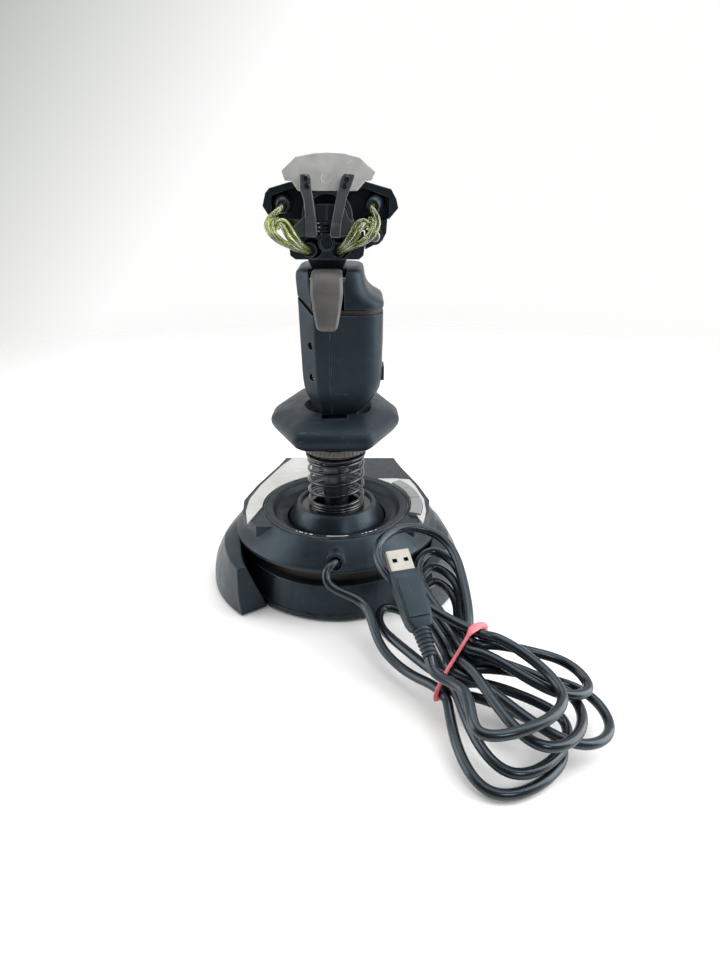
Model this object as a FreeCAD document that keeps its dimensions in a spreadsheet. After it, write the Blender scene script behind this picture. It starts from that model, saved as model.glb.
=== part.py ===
"""Flight joystick with a sprung stick, an adjustable grip and head, and a lever base.

Millimetres. The origin is on the floor under the stick's axis. +Z is up, +Y points
away from the user (the cable side) and +X to the user's right.
"""
import FreeCAD, Part
import math
import os
import Sketcher
from FreeCAD import Placement, Rotation, Vector

doc = FreeCAD.newDocument("flight_joystick")

DIMENSIONS = (
    # base
    ("foot_height", 1.5), ("foot_radius", 6.0), ("wall", 2.5),
    ("ring_radius", 58.0), ("ring_y", -7.0), ("ring_top", 24.0),
    ("rim_radius", 62.5), ("rim_y", -6.0), ("rim_low", 36.0), ("rim_high", 38.0),
    ("deck_top", 50.0), ("plate_thick", 1.0), ("deck_back", -86.0), ("deck_back_half", 36.0),
    ("dish_radius", 43.4), ("dish_top", 51.0), ("dish_step_radius", 38.2), ("dish_step", 46.4),
    ("dish_floor_radius", 30.0), ("dish_floor", 43.0), ("tube_radius", 21.0), ("tube_top", 50.0),
    ("dial_low_radius", 29.5), ("dial_high_radius", 23.5), ("dial_top", 53.5),
    ("button_inner", 45.9), ("button_outer", 52.6), ("button_top", 52.0), ("button_travel", 1.0),
    ("lever_y", -64.0), ("lever_z", 34.0), ("lever_x", 9.0), ("lever_width", 9.0),
    ("lever_hub", 12.5), ("lever_length", 25.0),
    # gimbal and stick
    ("pivot", 36.0), ("pin_radius", 2.5), ("play", 0.05), ("gimbal_outer", 18.0),
    ("gimbal_inner", 13.5), ("gimbal_half", 4.0), ("cradle_outer", 25.0),
    ("shaft_radius", 7.6), ("shaft_top", 134.0), ("hub_radius", 10.0),
    ("spring_low", 51.5), ("spring_high", 84.5), ("spring_radius", 16.25), ("wire_radius", 0.75),
    ("cap_radius", 18.0), ("cap_top", 86.0),
    # grip
    ("neck_radius", 9.5), ("neck_top", 128.0), ("rest_ring_radius", 20.5),
    ("rest_ring_low", 86.6), ("rest_ring_top", 93.0), ("thread_radius", 13.0),
    ("rest_travel", 4.0), ("seam_x", 1.3), ("grip_top", 168.5), ("grip_wall", 2.6),
    ("post_x", 14.0), ("post_y", 8.0),
    # head
    ("saddle_low", 171.5), ("saddle_top", 191.0), ("neck_high", 196.0),
    ("trigger_y", 13.5), ("trigger_z", 186.0), ("trigger_pin", 1.5),
    ("head_floor", 196.2), ("head_deck", 207.5), ("arm_y", 15.8), ("arm_thick", 2.5),
    ("glow_radius", 2.1), ("hub_x", 2.0), ("hub_z", 216.0), ("hub_ring_radius", 12.8),
    ("face_y", -17.0), ("hat_z", 222.0), ("hat_radius", 7.0),
    # cable
    ("cord_radius", 2.2), ("usb_width", 12.0), ("usb_height", 4.5),
)


class Size:
    """A number together with the spreadsheet formula that gives it."""

    def __init__(self, value, formula=None):
        self.value = float(value)
        self.formula = formula or repr(float(value))

    def join(self, other, sign, value):
        return Size(value, f"({self.formula} {sign} {size(other).formula})")

    def __add__(self, other):
        return self.join(other, "+", self.value + size(other).value)

    def __radd__(self, other):
        return size(other) + self

    def __sub__(self, other):
        return self.join(other, "-", self.value - size(other).value)

    def __rsub__(self, other):
        return size(other) - self

    def __mul__(self, other):
        return self.join(other, "*", self.value * size(other).value)

    def __rmul__(self, other):
        return size(other) * self

    def __neg__(self):
        return size(0) - self


def size(amount):
    return amount if isinstance(amount, Size) else Size(amount)


def number(amount):
    return size(amount).value


class Sizes:
    """The driving dimensions, one attribute for each spreadsheet alias."""

    def __init__(self, dimensions):
        sheet = doc.addObject("Spreadsheet::Sheet", "Sizes")
        for row, (alias, value) in enumerate(dimensions, start=1):
            sheet.set(f"A{row}", alias)
            sheet.set(f"B{row}", str(value))
            sheet.setAlias(f"B{row}", alias)
            setattr(self, alias, Size(value, f"Sizes.{alias}"))


D = Sizes(DIMENSIONS)
doc.recompute()

UP = Rotation()
ALONG_X = Rotation(Vector(0, 0, 1), Vector(1, 0, 0))
ALONG_Y = Rotation(Vector(0, 0, 1), Vector(0, 1, 0))
FULL_TURN = 360.0


# ---------------------------------------------------------------- building blocks

def bind(piece, prop, amount):
    piece.setExpression(prop, size(amount).formula)


def place(piece, base, turn=UP):
    piece.Placement = Placement(Vector(), turn)
    for axis, amount in zip("xyz", base):
        bind(piece, f"Placement.Base.{axis}", amount)
    return piece


def cylinder(radius, height, base=(0, 0, 0), turn=UP):
    piece = doc.addObject("Part::Cylinder", "Cylinder")
    bind(piece, "Radius", radius)
    bind(piece, "Height", height)
    return place(piece, base, turn)


def cone(low, high, height, base=(0, 0, 0), turn=UP):
    piece = doc.addObject("Part::Cone", "Cone")
    bind(piece, "Radius1", low)
    bind(piece, "Radius2", high)
    bind(piece, "Height", height)
    return place(piece, base, turn)


def box(low, high):
    """A box between two corners."""
    piece = doc.addObject("Part::Box", "Box")
    for prop, near, far in zip(("Length", "Width", "Height"), low, high):
        bind(piece, prop, size(far) - near)
    return place(piece, low)


def fuse(*pieces):
    piece = doc.addObject("Part::MultiFuse", "Fuse")
    piece.Shapes = list(pieces)
    return piece


def cut(whole, *tools):
    piece = doc.addObject("Part::Cut", "Cut")
    piece.Base = whole
    piece.Tool = tools[0] if len(tools) == 1 else fuse(*tools)
    return piece


def common(*pieces):
    piece = doc.addObject("Part::MultiCommon", "Common")
    piece.Shapes = list(pieces)
    return piece


def solid(shape, name="Solid"):
    """A piece whose free-form shape is computed here from the sheet's sizes."""
    piece = doc.addObject("Part::Feature", name)
    piece.Shape = shape
    return piece


def draw_outline(sketch, points):
    """A closed outline of straight lines through (across, up) points."""
    corners = [(size(across), size(up)) for across, up in points]
    count = len(corners)
    for index in range(count):
        ends = [Vector(corners[k % count][0].value, corners[k % count][1].value, 0) for k in (index, index + 1)]
        sketch.addGeometry(Part.LineSegment(*ends), False)
    for index in range(count):
        sketch.addConstraint(Sketcher.Constraint("Coincident", index, 2, (index + 1) % count, 1))
        for kind, amount in zip(("DistanceX", "DistanceY"), corners[index]):
            rule = sketch.addConstraint(Sketcher.Constraint(kind, -1, 1, index, 1, amount.value))
            sketch.setExpression(f"Constraints[{rule}]", amount.formula)


def draw_circle(sketch, radius, center=(0, 0)):
    across, up = size(center[0]), size(center[1])
    circle = Part.Circle(Vector(across.value, up.value, 0), Vector(0, 0, 1), number(radius))
    index = sketch.addGeometry(circle, False)
    for kind, amount in (("DistanceX", across), ("DistanceY", up)):
        rule = sketch.addConstraint(Sketcher.Constraint(kind, -1, 1, index, 3, amount.value))
        sketch.setExpression(f"Constraints[{rule}]", amount.formula)
    rule = sketch.addConstraint(Sketcher.Constraint("Radius", index, number(radius)))
    sketch.setExpression(f"Constraints[{rule}]", size(radius).formula)


def body_sketch(body, plane):
    sketch = body.newObject("Sketcher::SketchObject", "Outline")
    origin_plane = [face for face in body.Origin.OriginFeatures if face.Role == plane][0]
    sketch.AttachmentSupport = (origin_plane, [""])
    sketch.MapMode = "FlatFace"
    return sketch


def turned(profile, base=(0, 0, 0), turn=UP):
    """A body turned about its own axis from (radius, height) points."""
    body = doc.addObject("PartDesign::Body", "Turned")
    sketch = body_sketch(body, "XZ_Plane")
    draw_outline(sketch, profile)
    spin = body.newObject("PartDesign::Revolution", "Revolution")
    spin.Profile = sketch
    spin.ReferenceAxis = (sketch, ["V_Axis"])
    spin.Angle = FULL_TURN
    return place(body, base, turn)


def pad(body, sketch, length):
    feature = body.newObject("PartDesign::Pad", "Pad")
    feature.Profile = sketch
    bind(feature, "Length", length)
    return feature


def plan_pad(points, low, high):
    """An upright prism from (x, y) points between two heights."""
    body = doc.addObject("PartDesign::Body", "Prism")
    sketch = body_sketch(body, "XY_Plane")
    draw_outline(sketch, points)
    pad(body, sketch, size(high) - low)
    return place(body, (0, 0, low))


def front_pad(points, near, far):
    """A prism from (x, z) points that runs along Y from near to far."""
    body = doc.addObject("PartDesign::Body", "Prism")
    sketch = body_sketch(body, "XZ_Plane")
    draw_outline(sketch, points)
    pad(body, sketch, size(far) - near)
    return place(body, (0, far, 0))


def side_pad(points, near, far):
    """A prism from (y, z) points that runs along X from near to far."""
    body = doc.addObject("PartDesign::Body", "Prism")
    sketch = body_sketch(body, "YZ_Plane")
    draw_outline(sketch, points)
    pad(body, sketch, size(far) - near)
    return place(body, (near, 0, 0))


def section(points, height):
    """An outline on its own, flat at a height, for a loft."""
    sketch = doc.addObject("Sketcher::SketchObject", "Section")
    draw_outline(sketch, points)
    return place(sketch, (0, 0, height))


def round_section(radius, center_y, height):
    sketch = doc.addObject("Sketcher::SketchObject", "Section")
    draw_circle(sketch, radius, (0, center_y))
    return place(sketch, (0, 0, height))


def loft(*sections):
    piece = doc.addObject("Part::Loft", "Loft")
    piece.Sections = list(sections)
    piece.Solid = True
    piece.Ruled = True
    return piece


def mirrored(points):
    """The right-hand points, then the same points mirrored to the left, as one closed outline."""
    return list(points) + [(-across, up) for across, up in reversed(points)]


# ---------------------------------------------------------------- base

def deck_outline(inset=0.0):
    """Plan of the flat deck around the dish, which tapers towards the user."""
    return mirrored((
        (46.0 - inset, 28.0 - inset), (56.0 - inset, 12.0 - inset), (58.0 - inset, -6.0), (53.0 - inset, -28.0),
        (42.0 - inset, -62.0), (D.deck_back_half - inset, D.deck_back + inset),
    ))


def deck_block(inset=0.0):
    """The deck's bulk, bevelled down towards the user; inset gives the room inside its wall."""
    top = D.deck_top - inset
    block = plan_pad(deck_outline(inset), D.rim_low - inset * 0.8, top)
    heel = D.deck_back + inset * 1.2
    bevel = side_pad(((heel + 11.0, top + 0.1), (heel - 6.0, top + 0.1), (heel - 6.0, top - 16.0), (heel, top - 10.0)),
                     -60.0, 60.0)
    return cut(block, bevel)


def rear_outline(inset=0.0):
    """Plan of the low box behind the round base ring."""
    return mirrored(((51.0 - inset, -30.0), (42.0 - inset, -62.0), (D.deck_back_half - inset, D.deck_back + inset)))


def rubber_feet():
    """Four corner feet and a centre pad."""
    places = ((38.0, 22.0), (-38.0, 22.0), (28.0, -76.0), (-28.0, -76.0), (0.0, 0.0))
    return fuse(*[cylinder(D.foot_radius, D.foot_height, (x, y, 0)) for x, y in places])


SCREW_PLACES = ((30.0, 30.0), (-30.0, 30.0), (25.0, -64.0), (-25.0, -64.0))


def base_plate():
    """Bottom plate with the two walls that hold the throttle axle."""
    floor = D.foot_height
    top = floor + 2.0
    sheet = fuse(
        cylinder(D.ring_radius - D.wall - 0.2, 2.0, (0, D.ring_y, floor)),
        plan_pad(rear_outline(2.7), floor, top),
    )
    walls = [box((x, D.lever_y - 5.0, top - 0.5), (x + 3.0, D.lever_y + 5.0, D.lever_z + 6.0)) for x in (-21.0, 18.0)]
    holes = [cylinder(1.6, 6.0, (x, y, floor - 1.0)) for x, y in SCREW_PLACES]
    axle_hole = cylinder(2.0, 60.0, (-30.0, D.lever_y, D.lever_z), ALONG_X)
    return cut(fuse(sheet, *walls), axle_hole, *holes)


def base_screws():
    heads = [cone(2.6, 1.4, 1.2, (x, y, D.foot_height - 1.3)) for x, y in SCREW_PLACES]
    shanks = [cylinder(1.4, 8.0, (x, y, D.foot_height - 0.2)) for x, y in SCREW_PLACES]
    return fuse(*heads, *shanks)


def lower_shell():
    """Round front ring with a lip and an inward top flange, and the box towards the user."""
    floor = D.foot_height
    ring = fuse(
        cylinder(D.ring_radius, D.ring_top - floor, (0, D.ring_y, floor)),
        cylinder(D.ring_radius + 1.3, 3.0, (0, D.ring_y, floor)),
    )
    rear = plan_pad(rear_outline(), floor, D.rim_low - 0.2)
    outside = fuse(ring, rear)
    ring_room = cylinder(D.ring_radius - D.wall, D.ring_top - 2.0 - floor + 1.0, (0, D.ring_y, floor - 1.0))
    flange_hole = cylinder(52.7, 20.0, (0, D.ring_y, D.ring_top - 3.0))
    rear_room = plan_pad(rear_outline(2.5), floor - 1.0, D.rim_low + 1.0)
    return cut(outside, ring_room, flange_hole, rear_room)


def slot_band():
    """Dark inner wall that shows through the slot between the two casings."""
    wall_ring = turned(
        ((50.4, D.ring_top - 4.0), (52.6, D.ring_top - 4.0), (52.6, D.rim_low + 1.5), (50.4, D.rim_low + 1.5)),
        (0, D.ring_y, 0),
    )
    return cut(wall_ring, box((-60.0, -80.0, 0.0), (60.0, -24.0, 60.0)))


def skirt(shrink=0.0, drop=0.0):
    """The sloping round skirt: a cone that leans from the dish to the wider rim."""
    rim = D.rim_radius - shrink
    return fuse(
        cylinder(rim, D.rim_high - D.rim_low, (0, D.rim_y, D.rim_low - drop)),
        loft(
            round_section(rim, D.rim_y, D.rim_high - drop),
            round_section(D.dish_radius + 1.0 - shrink * 0.4, 0.0, D.deck_top + 0.4 - drop),
        ),
    )


def lever_slot(side):
    """Opening in the deck that one throttle lever swings in."""
    half = D.lever_width * 0.5 + 0.6
    x = D.lever_x * side
    return box((x - half, D.lever_y - 15.0, 30.0), (x + half, D.lever_y + 15.0, 70.0))


def arc_block(inner, outer, start, end, low, high):
    """A curved block around the stick's axis between two angles in degrees."""
    reach = number(outer) * 2.0
    middle = math.radians((start + end) / 2.0)
    spread = math.radians((end - start) / 2.0)
    points = [(0.0, 0.0)]
    for angle in (middle - spread, middle, middle + spread):
        points.append((reach * math.cos(angle), reach * math.sin(angle)))
    height = size(high) - low
    ring = cut(cylinder(outer, height, (0, 0, low)), cylinder(inner, height + 2.0, (0, 0, size(low) - 1.0)))
    return common(ring, plan_pad(points, size(low) - 0.5, size(high) + 0.5))


BUTTON_ANGLES = ((163.0, 187.6), (188.4, 204.6), (205.4, 219.0))
BUTTON_WELL = (162.2, 219.8)


def top_shell():
    """Skirt and deck in one moulding, hollow below, open for the dish, levers, buttons and cable."""
    nose = cylinder(4.8, 8.5, (-1.0, 45.0, 42.3), ALONG_Y)
    outside = fuse(skirt(), deck_block(), nose)
    dish_hole = cylinder(D.dish_radius + 0.2, 40.0, (0, 0, 30.0))
    well = arc_block(D.button_inner - 0.4, D.button_outer + 0.4, *BUTTON_WELL, 40.0, 60.0)
    cable_hole = cylinder(D.cord_radius + 1.5, 22.0, (-1.0, 38.0, 41.3), ALONG_Y)
    return cut(outside, skirt(3.0, 2.2), deck_block(2.5), dish_hole, well, cable_hole, lever_slot(-1), lever_slot(1))


def dish():
    """Round dish that drops into the top casing and carries the spring on its inner tube."""
    return turned((
        (D.dish_radius, D.dish_top), (D.dish_radius - 1.2, D.dish_top + 1.0), (D.dish_step_radius, D.dish_step),
        (D.dish_step_radius - 1.0, D.dish_step - 0.5), (D.dish_floor_radius, D.dish_floor),
        (D.tube_radius, D.dish_floor), (D.tube_radius, D.tube_top), (D.tube_radius - 2.0, D.tube_top),
        (D.tube_radius - 2.0, D.dish_floor - 2.2), (D.dish_floor_radius + 0.5, D.dish_floor - 2.2),
        (D.dish_step_radius + 0.4, D.dish_step - 2.9), (D.dish_radius, D.dish_top - 1.6),
    ))


def deck_plate():
    """Sheet-metal trim: a broad leaf on the right of the deck and a narrow frame around the base buttons."""
    low = D.deck_top
    high = D.deck_top + D.plate_thick
    sheet = plan_pad(mirrored((
        (51.2, 25.2), (54.3, 10.6), (54.5, -6.0), (50.4, -26.0), (39.5, -60.0), (33.0, D.deck_back + 12.0),
    )), low, high)
    dish_gap = cylinder(D.dish_radius + 2.0, 10.0, (0, 0, low - 1.0))
    front_gap = plan_pad(mirrored(((45.3, 5.0), (50.8, 25.4), (50.8, 60.0))), low - 1.0, high + 1.0)
    middle_gap = box((-19.0, D.deck_back - 1.0, low - 1.0), (19.0, -44.0, high + 1.0))
    left_gap = box((-60.0, D.deck_back - 1.0, low - 1.0), (0.0, -37.0, high + 1.0))
    rear_gap = plan_pad(((-60.0, -50.0), (-30.0, -50.0), (-40.0, -36.6), (-60.0, -34.0)), low - 1.0, high + 1.0)
    well = arc_block(D.button_inner - 0.4, D.button_outer + 0.4, *BUTTON_WELL, low - 1.0, high + 1.0)
    return cut(sheet, dish_gap, front_gap, middle_gap, left_gap, rear_gap, well)


def base_button(index):
    start, end = BUTTON_ANGLES[index]
    return arc_block(D.button_inner, D.button_outer, start, end, D.button_top - 4.6, D.button_top)


def button_board():
    """Switch strip under the base buttons."""
    top = D.button_top - 4.6 - D.button_travel - 0.1
    return arc_block(D.dish_radius + 0.6, D.button_outer - 0.6, *BUTTON_WELL, top - 1.4, top)


def lock_dial():
    return turned((
        (D.dial_low_radius, D.dish_floor + 0.1), (D.dial_high_radius, D.dial_top),
        (D.dial_high_radius - 1.6, D.dial_top), (D.tube_radius + 0.1, D.dial_top - 1.2),
        (D.tube_radius + 0.1, D.dish_floor + 0.1),
    ))


def gimbal_cradle():
    """Two pillars with the roll bearings, on a low frame with posts for the sensor board."""
    floor = D.foot_height + 2.0
    pillars = [
        box((-7.0, low, floor), (7.0, high, D.pivot + 4.5))
        for low, high in ((18.6, D.cradle_outer), (-D.cradle_outer, -18.6))
    ]
    frame = box((-13.0, -D.cradle_outer, floor), (13.0, D.cradle_outer, floor + 2.5))
    posts = [cylinder(1.6, 11.0, (x, y, floor)) for x in (-9.5, 9.5) for y in (-9.5, 9.5)]
    bore = cylinder(D.pin_radius + D.play, 60.0, (0, -30.0, D.pivot), ALONG_Y)
    return cut(fuse(frame, *pillars, *posts), bore)


def sensor_board():
    low = D.foot_height + 13.0
    return box((-12.0, -12.0, low), (12.0, 12.0, low + 1.6))


def spring_seat():
    return turned((
        (14.4, D.tube_top), (D.tube_radius, D.tube_top), (D.tube_radius, D.spring_low), (14.4, D.spring_low),
    ))


def throttle_axle():
    return cylinder(2.0, 43.0, (-21.5, D.lever_y, D.lever_z), ALONG_X)


def throttle_lever(side):
    """Disc on the axle with a finger paddle that stands up through the deck."""
    half = D.lever_width * 0.5
    x = D.lever_x * side
    near = x - half
    disc = cylinder(D.lever_hub, D.lever_width, (near, D.lever_y, D.lever_z), ALONG_X)
    stem = box((near, D.lever_y - 2.5, D.lever_z), (x + half, D.lever_y + 2.5, D.lever_z + D.lever_length - 2.0))
    knob = cylinder(4.0, D.lever_width, (near, D.lever_y, D.lever_z + D.lever_length - 3.0), ALONG_X)
    bore = cylinder(2.0 + D.play, D.lever_width + 2.0, (near - 1.0, D.lever_y, D.lever_z), ALONG_X)
    return cut(fuse(disc, stem, knob), bore)


def fender(side):
    """Stabilising foot shell beside the round base, with a shoulder and a sloping top."""
    foot = ((40.0, 34.0), (54.1, 45.8), (70.7, 23.2), (79.9, 1.7), (77.0, -26.0), (62.0, -50.0), (40.0, -44.0))
    shoulder = ((42.0, 33.0), (56.3, 45.0), (67.0, 18.4), (70.5, 0.0), (68.5, -24.0), (57.0, -44.0), (40.0, -40.0))
    top = ((40.0, 28.0), (50.0, 34.0), (61.0, 16.0), (63.6, -2.0), (60.0, -24.0), (50.0, -38.0), (38.0, -36.0))
    levels = zip((foot, shoulder, top), (0.8, 31.5, 38.5))
    bulk = loft(*[section([(x * side, y) for x, y in points], height) for points, height in levels])
    ring_gap = cylinder(D.ring_radius + 1.6, 60.0, (0, D.ring_y, 0))
    rim_gap = cylinder(D.rim_radius + 0.4, 10.0, (0, D.rim_y, D.rim_low - 0.5))
    rear_gap = plan_pad(mirrored(((51.6, -20.0), (51.6, -30.0), (42.6, -62.0), (36.6, -90.0))), 0.0, 60.0)
    deck_gap = plan_pad(mirrored((
        (46.6, 28.6), (56.6, 12.6), (58.6, -6.0), (53.6, -28.0), (42.6, -62.0), (36.6, -90.0),
    )), D.rim_low - 0.5, 60.0)
    slot_gap = loft(
        round_section(D.ring_radius + 1.3, D.ring_y, 0.5), round_section(60.5, 9.7, 32.0), round_section(60.5, 9.7, 60.0),
    )
    return cut(bulk, ring_gap, rim_gap, rear_gap, deck_gap, slot_gap)


# ---------------------------------------------------------------- cable

HANK_CENTER = Vector(-62.0, 118.0, 26.5)
HANK_SIDE = Vector(-0.80, -0.60, 0.0)
HANK_NECK = Vector(-0.50, 0.80, -0.10)
HANK_LIFT = Vector(0.0, 0.0, 1.0)
LAYER_RISE = 5.0
LAYER_SHIFT = 3.6
STRAND_HALF_GAP = 2.95
LOWER_DROP = -12.0
LOOP_STEPS = 8
WIDEST_SHARE = 0.65  # half width of the drop curve before it is scaled
DROP_REACH = 60.0  # distance from the waist over which the lower loops fall by LOWER_DROP
FAN_PINCH = 0.75  # share of the layer shift lost at a loop's tip
# heading in degrees from +X, length, half width
LOWER_LOOPS = (
    (124.0, 56.0, 22.0), (133.0, 54.0, 21.0), (159.0, 69.0, 16.0), (141.0, 58.0, 17.0), (166.0, 57.0, 10.0),
    (114.0, 50.0, 22.0),
)
# heading in degrees from +X, length, half width, rise
UPPER_LOOPS = (
    (-61.0, 66.0, 8.5, 0.0), (-84.0, 58.0, 8.0, 12.0), (-83.0, 61.0, 9.0, 14.0), (-82.0, 64.0, 10.0, 17.0),
    (-66.0, 67.0, 20.0, 27.0),
)
PATH_STEPS = 6000
LONGEST_LENGTH = 12.0
SHARPEST_JOINT = math.radians(15.0)
MITRED = 1  # kind of joint between two lengths
PLUG_BASE = Vector(-46.3, 127.6, 36.6)
PLUG_AXIS = Vector(0.243, -0.835, 0.488).normalize()
PLUG_TURN = Rotation(Vector(0, 0, 1), PLUG_AXIS)
PLUG_LENGTH = 44.0


def strand(side, layer, along=0.0):
    """A point on one strand where the band ties the hank."""
    point = HANK_CENTER + HANK_SIDE * (STRAND_HALF_GAP * side + layer * LAYER_SHIFT)
    return point + HANK_LIFT * (layer * LAYER_RISE) + HANK_NECK * along


def loop_points(heading, length, half_width, first_layer, last_layer, rise):
    """One teardrop loop of the hank, from its left strand to its right strand."""
    angle = math.radians(heading)
    along = Vector(math.cos(angle), math.sin(angle), 0.0)
    across = Vector(-along.y, along.x, 0.0)
    if across.dot(HANK_SIDE) < 0:
        across = across * -1.0
    points = []
    for step in range(1, LOOP_STEPS):
        share = step / LOOP_STEPS
        turn = math.pi * (2.0 * share - 1.0)
        out = (1.0 + math.cos(turn)) / 2.0
        swing = half_width / WIDEST_SHARE * math.sin(turn) * math.cos(turn / 2.0) ** 2
        layer = first_layer + (last_layer - first_layer) * share
        plan = along * (length * out) + across * swing
        fan = STRAND_HALF_GAP * math.sin(turn / 2.0) + layer * LAYER_SHIFT * (1.0 - FAN_PINCH * out)
        reach = plan.Length / DROP_REACH if rise < 0 else out
        height = layer * LAYER_RISE + rise * reach ** 1.3
        points.append(HANK_CENTER + plan + HANK_SIDE * fan + HANK_LIFT * height)
    return points


def cord_path():
    """Cable from the base, through the tied hank, to the moulded plug."""
    middle = (len(LOWER_LOOPS) - 1) / 2.0
    points = [
        Vector(-1.0, 46.0, 41.4), Vector(-1.0, 52.0, 41.2), Vector(3.5, 57.5, 38.5), Vector(3.0, 61.5, 33.5),
        Vector(-6.0, 66.0, 29.5), Vector(-16.0, 71.5, 26.5), Vector(-21.0, 82.5, 22.0), Vector(-26.5, 95.5, 15.5),
        Vector(-41.0, 111.5, 12.2),
    ]
    for turn, (heading, length, half_width) in enumerate(LOWER_LOOPS[:-1]):
        layer = turn - middle
        neck = 4.0 if heading < 150.0 else 1.5
        points += [strand(-1, layer, -4.0), strand(-1, layer, neck)]
        points += loop_points(heading, length, half_width, layer, layer, LOWER_DROP)
        points += [strand(1, layer, neck), strand(1, layer, -4.0)]
        climb = loop_points(*UPPER_LOOPS[turn][:3], layer + 1.0, layer, UPPER_LOOPS[turn][3])
        points += climb[::-1]
    last = loop_points(*LOWER_LOOPS[-1], middle - 0.3, middle + 0.3, LOWER_DROP)
    points = points[:-1] + [strand(1, middle, 4.0)] + last[:0:-1]
    return points + [PLUG_BASE - PLUG_AXIS * 7.0, PLUG_BASE + PLUG_AXIS * 8.0]


def sweep(points, radius, closed=False):
    """A round cord through the points."""
    path = Part.BSplineCurve()
    path.interpolate(points, closed)
    start = path.FirstParameter
    ring = Part.Wire(Part.Circle(path.value(start), path.tangent(start)[0], number(radius)).toShape())
    return Part.Wire(path.toShape()).makePipeShell([ring], True, False)


def straight_lengths(points):
    """The joints of a cord of straight lengths, close together where its path bends."""
    path = Part.BSplineCurve()
    path.interpolate(points)
    start, end = path.FirstParameter, path.LastParameter
    fine = [path.value(start + (end - start) * index / PATH_STEPS) for index in range(PATH_STEPS + 1)]
    joints, heading, run = [fine[0]], fine[1] - fine[0], 0.0
    for before, here, after in zip(fine, fine[1:], fine[2:]):
        run += (here - before).Length
        if run > LONGEST_LENGTH or (after - here).getAngle(heading) > SHARPEST_JOINT:
            joints.append(here)
            heading, run = after - here, 0.0
    return joints + [fine[-1]]


def usb_cable():
    joints = straight_lengths(cord_path())
    ring = Part.Wire(Part.Circle(joints[0], joints[1] - joints[0], number(D.cord_radius)).toShape())
    return solid(Part.makePolygon(joints).makePipeShell([ring], True, False, MITRED))


def plug_solid(width, thick, low, high):
    """A block of the plug, centred on the plug's own axis between two lengths."""
    block = Part.makeBox(width, thick, high - low, Vector(-width / 2.0, -thick / 2.0, low))
    block.Placement = Placement(PLUG_BASE, PLUG_TURN)
    return block


def plug_body():
    """Moulded plug grip and its ribbed strain relief."""
    relief = Part.makeCone(2.6, 3.6, 12.0, Vector(0, 0, 2.4))
    ribs = [Part.makeCylinder(3.9, 1.0, Vector(0, 0, 4.0 + 2.2 * index)) for index in range(4)]
    relief = relief.multiFuse(ribs)
    relief.Placement = Placement(PLUG_BASE, PLUG_TURN)
    return solid(relief.fuse(plug_solid(15.5, 8.0, 14.0, PLUG_LENGTH)))


def usb_shell():
    width, thick = number(D.usb_width), number(D.usb_height)
    outer = plug_solid(width, thick, PLUG_LENGTH, PLUG_LENGTH + 12.0)
    return solid(outer.cut(plug_solid(width - 0.8, thick - 0.8, PLUG_LENGTH + 0.6, PLUG_LENGTH + 13.0)))


def usb_tongue():
    block = Part.makeBox(10.8, 1.6, 10.0, Vector(-5.4, -1.8, PLUG_LENGTH + 0.8))
    block.Placement = Placement(PLUG_BASE, PLUG_TURN)
    return solid(block)


def cable_grommet():
    ring = cut(
        cylinder(D.cord_radius + 1.3, 6.0, (-1.0, 45.5, 41.5), ALONG_Y),
        cylinder(D.cord_radius + 0.6, 12.0, (-1.0, 42.0, 41.5), ALONG_Y),
    )
    return ring


def cable_band():
    """Rubber band around the waist of the hank."""
    middle = (len(LOWER_LOOPS) - 1) / 2.0
    clearance = number(D.cord_radius) + 1.1
    corners = []
    for side, layer, turn in ((-1, -middle, 1), (1, -middle, -1), (1, middle, 1), (-1, middle, -1)):
        outward = 1 if layer > 0 else -1
        beside = strand(side, layer) + HANK_SIDE * (side * clearance)
        beyond = strand(side, layer) + HANK_LIFT * (outward * clearance)
        corners += [beside, beyond][::turn]
    return solid(sweep(corners, 0.9, True))


# ---------------------------------------------------------------- spring and stick

def centering_spring():
    """Open coil between the dish tube and the stick's cap."""
    low, high = number(D.spring_low), number(D.spring_high)
    radius, wire = number(D.spring_radius), number(D.wire_radius)
    turns = 6.0
    height = high - low - 2.0 * wire - 0.1
    coil = Part.makeHelix(height / turns, height, radius)
    ring = Part.Wire(Part.Circle(Vector(radius, 0, 0), Vector(0, 1, 0), wire).toShape())
    spring = Part.Wire(coil.Edges).makePipeShell([ring], True, True)
    spring.translate(Vector(0, 0, low + wire + 0.05))
    return solid(spring)


def gimbal_ring():
    ring = turned((
        (D.gimbal_inner, D.pivot - D.gimbal_half), (D.gimbal_outer, D.pivot - D.gimbal_half),
        (D.gimbal_outer, D.pivot + D.gimbal_half), (D.gimbal_inner, D.pivot + D.gimbal_half),
    ))
    pitch_bore = cylinder(D.pin_radius + D.play, 60.0, (-30.0, 0, D.pivot), ALONG_X)
    roll_bore = cylinder(D.pin_radius, 60.0, (0, -30.0, D.pivot), ALONG_Y)
    return cut(ring, pitch_bore, roll_bore)


def roll_pins():
    length = D.cradle_outer - D.gimbal_inner - 0.3
    return fuse(
        cylinder(D.pin_radius, length, (0, D.gimbal_inner + 0.2, D.pivot), ALONG_Y),
        cylinder(D.pin_radius, length, (0, 0.1 - D.cradle_outer, D.pivot), ALONG_Y),
    )


def stick_shaft():
    shaft = turned((
        (0, 22.0), (3.5, 22.0), (3.5, 29.0), (D.hub_radius, 30.5), (D.hub_radius, 41.5), (D.shaft_radius, 44.0),
        (D.shaft_radius, D.shaft_top), (0, D.shaft_top),
    ))
    return cut(shaft, cylinder(D.pin_radius, 60.0, (-30.0, 0, D.pivot), ALONG_X))


def pitch_axle():
    half = D.gimbal_outer - 0.1
    return cylinder(D.pin_radius, half * 2.0, (-half, 0, D.pivot), ALONG_X)


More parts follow.
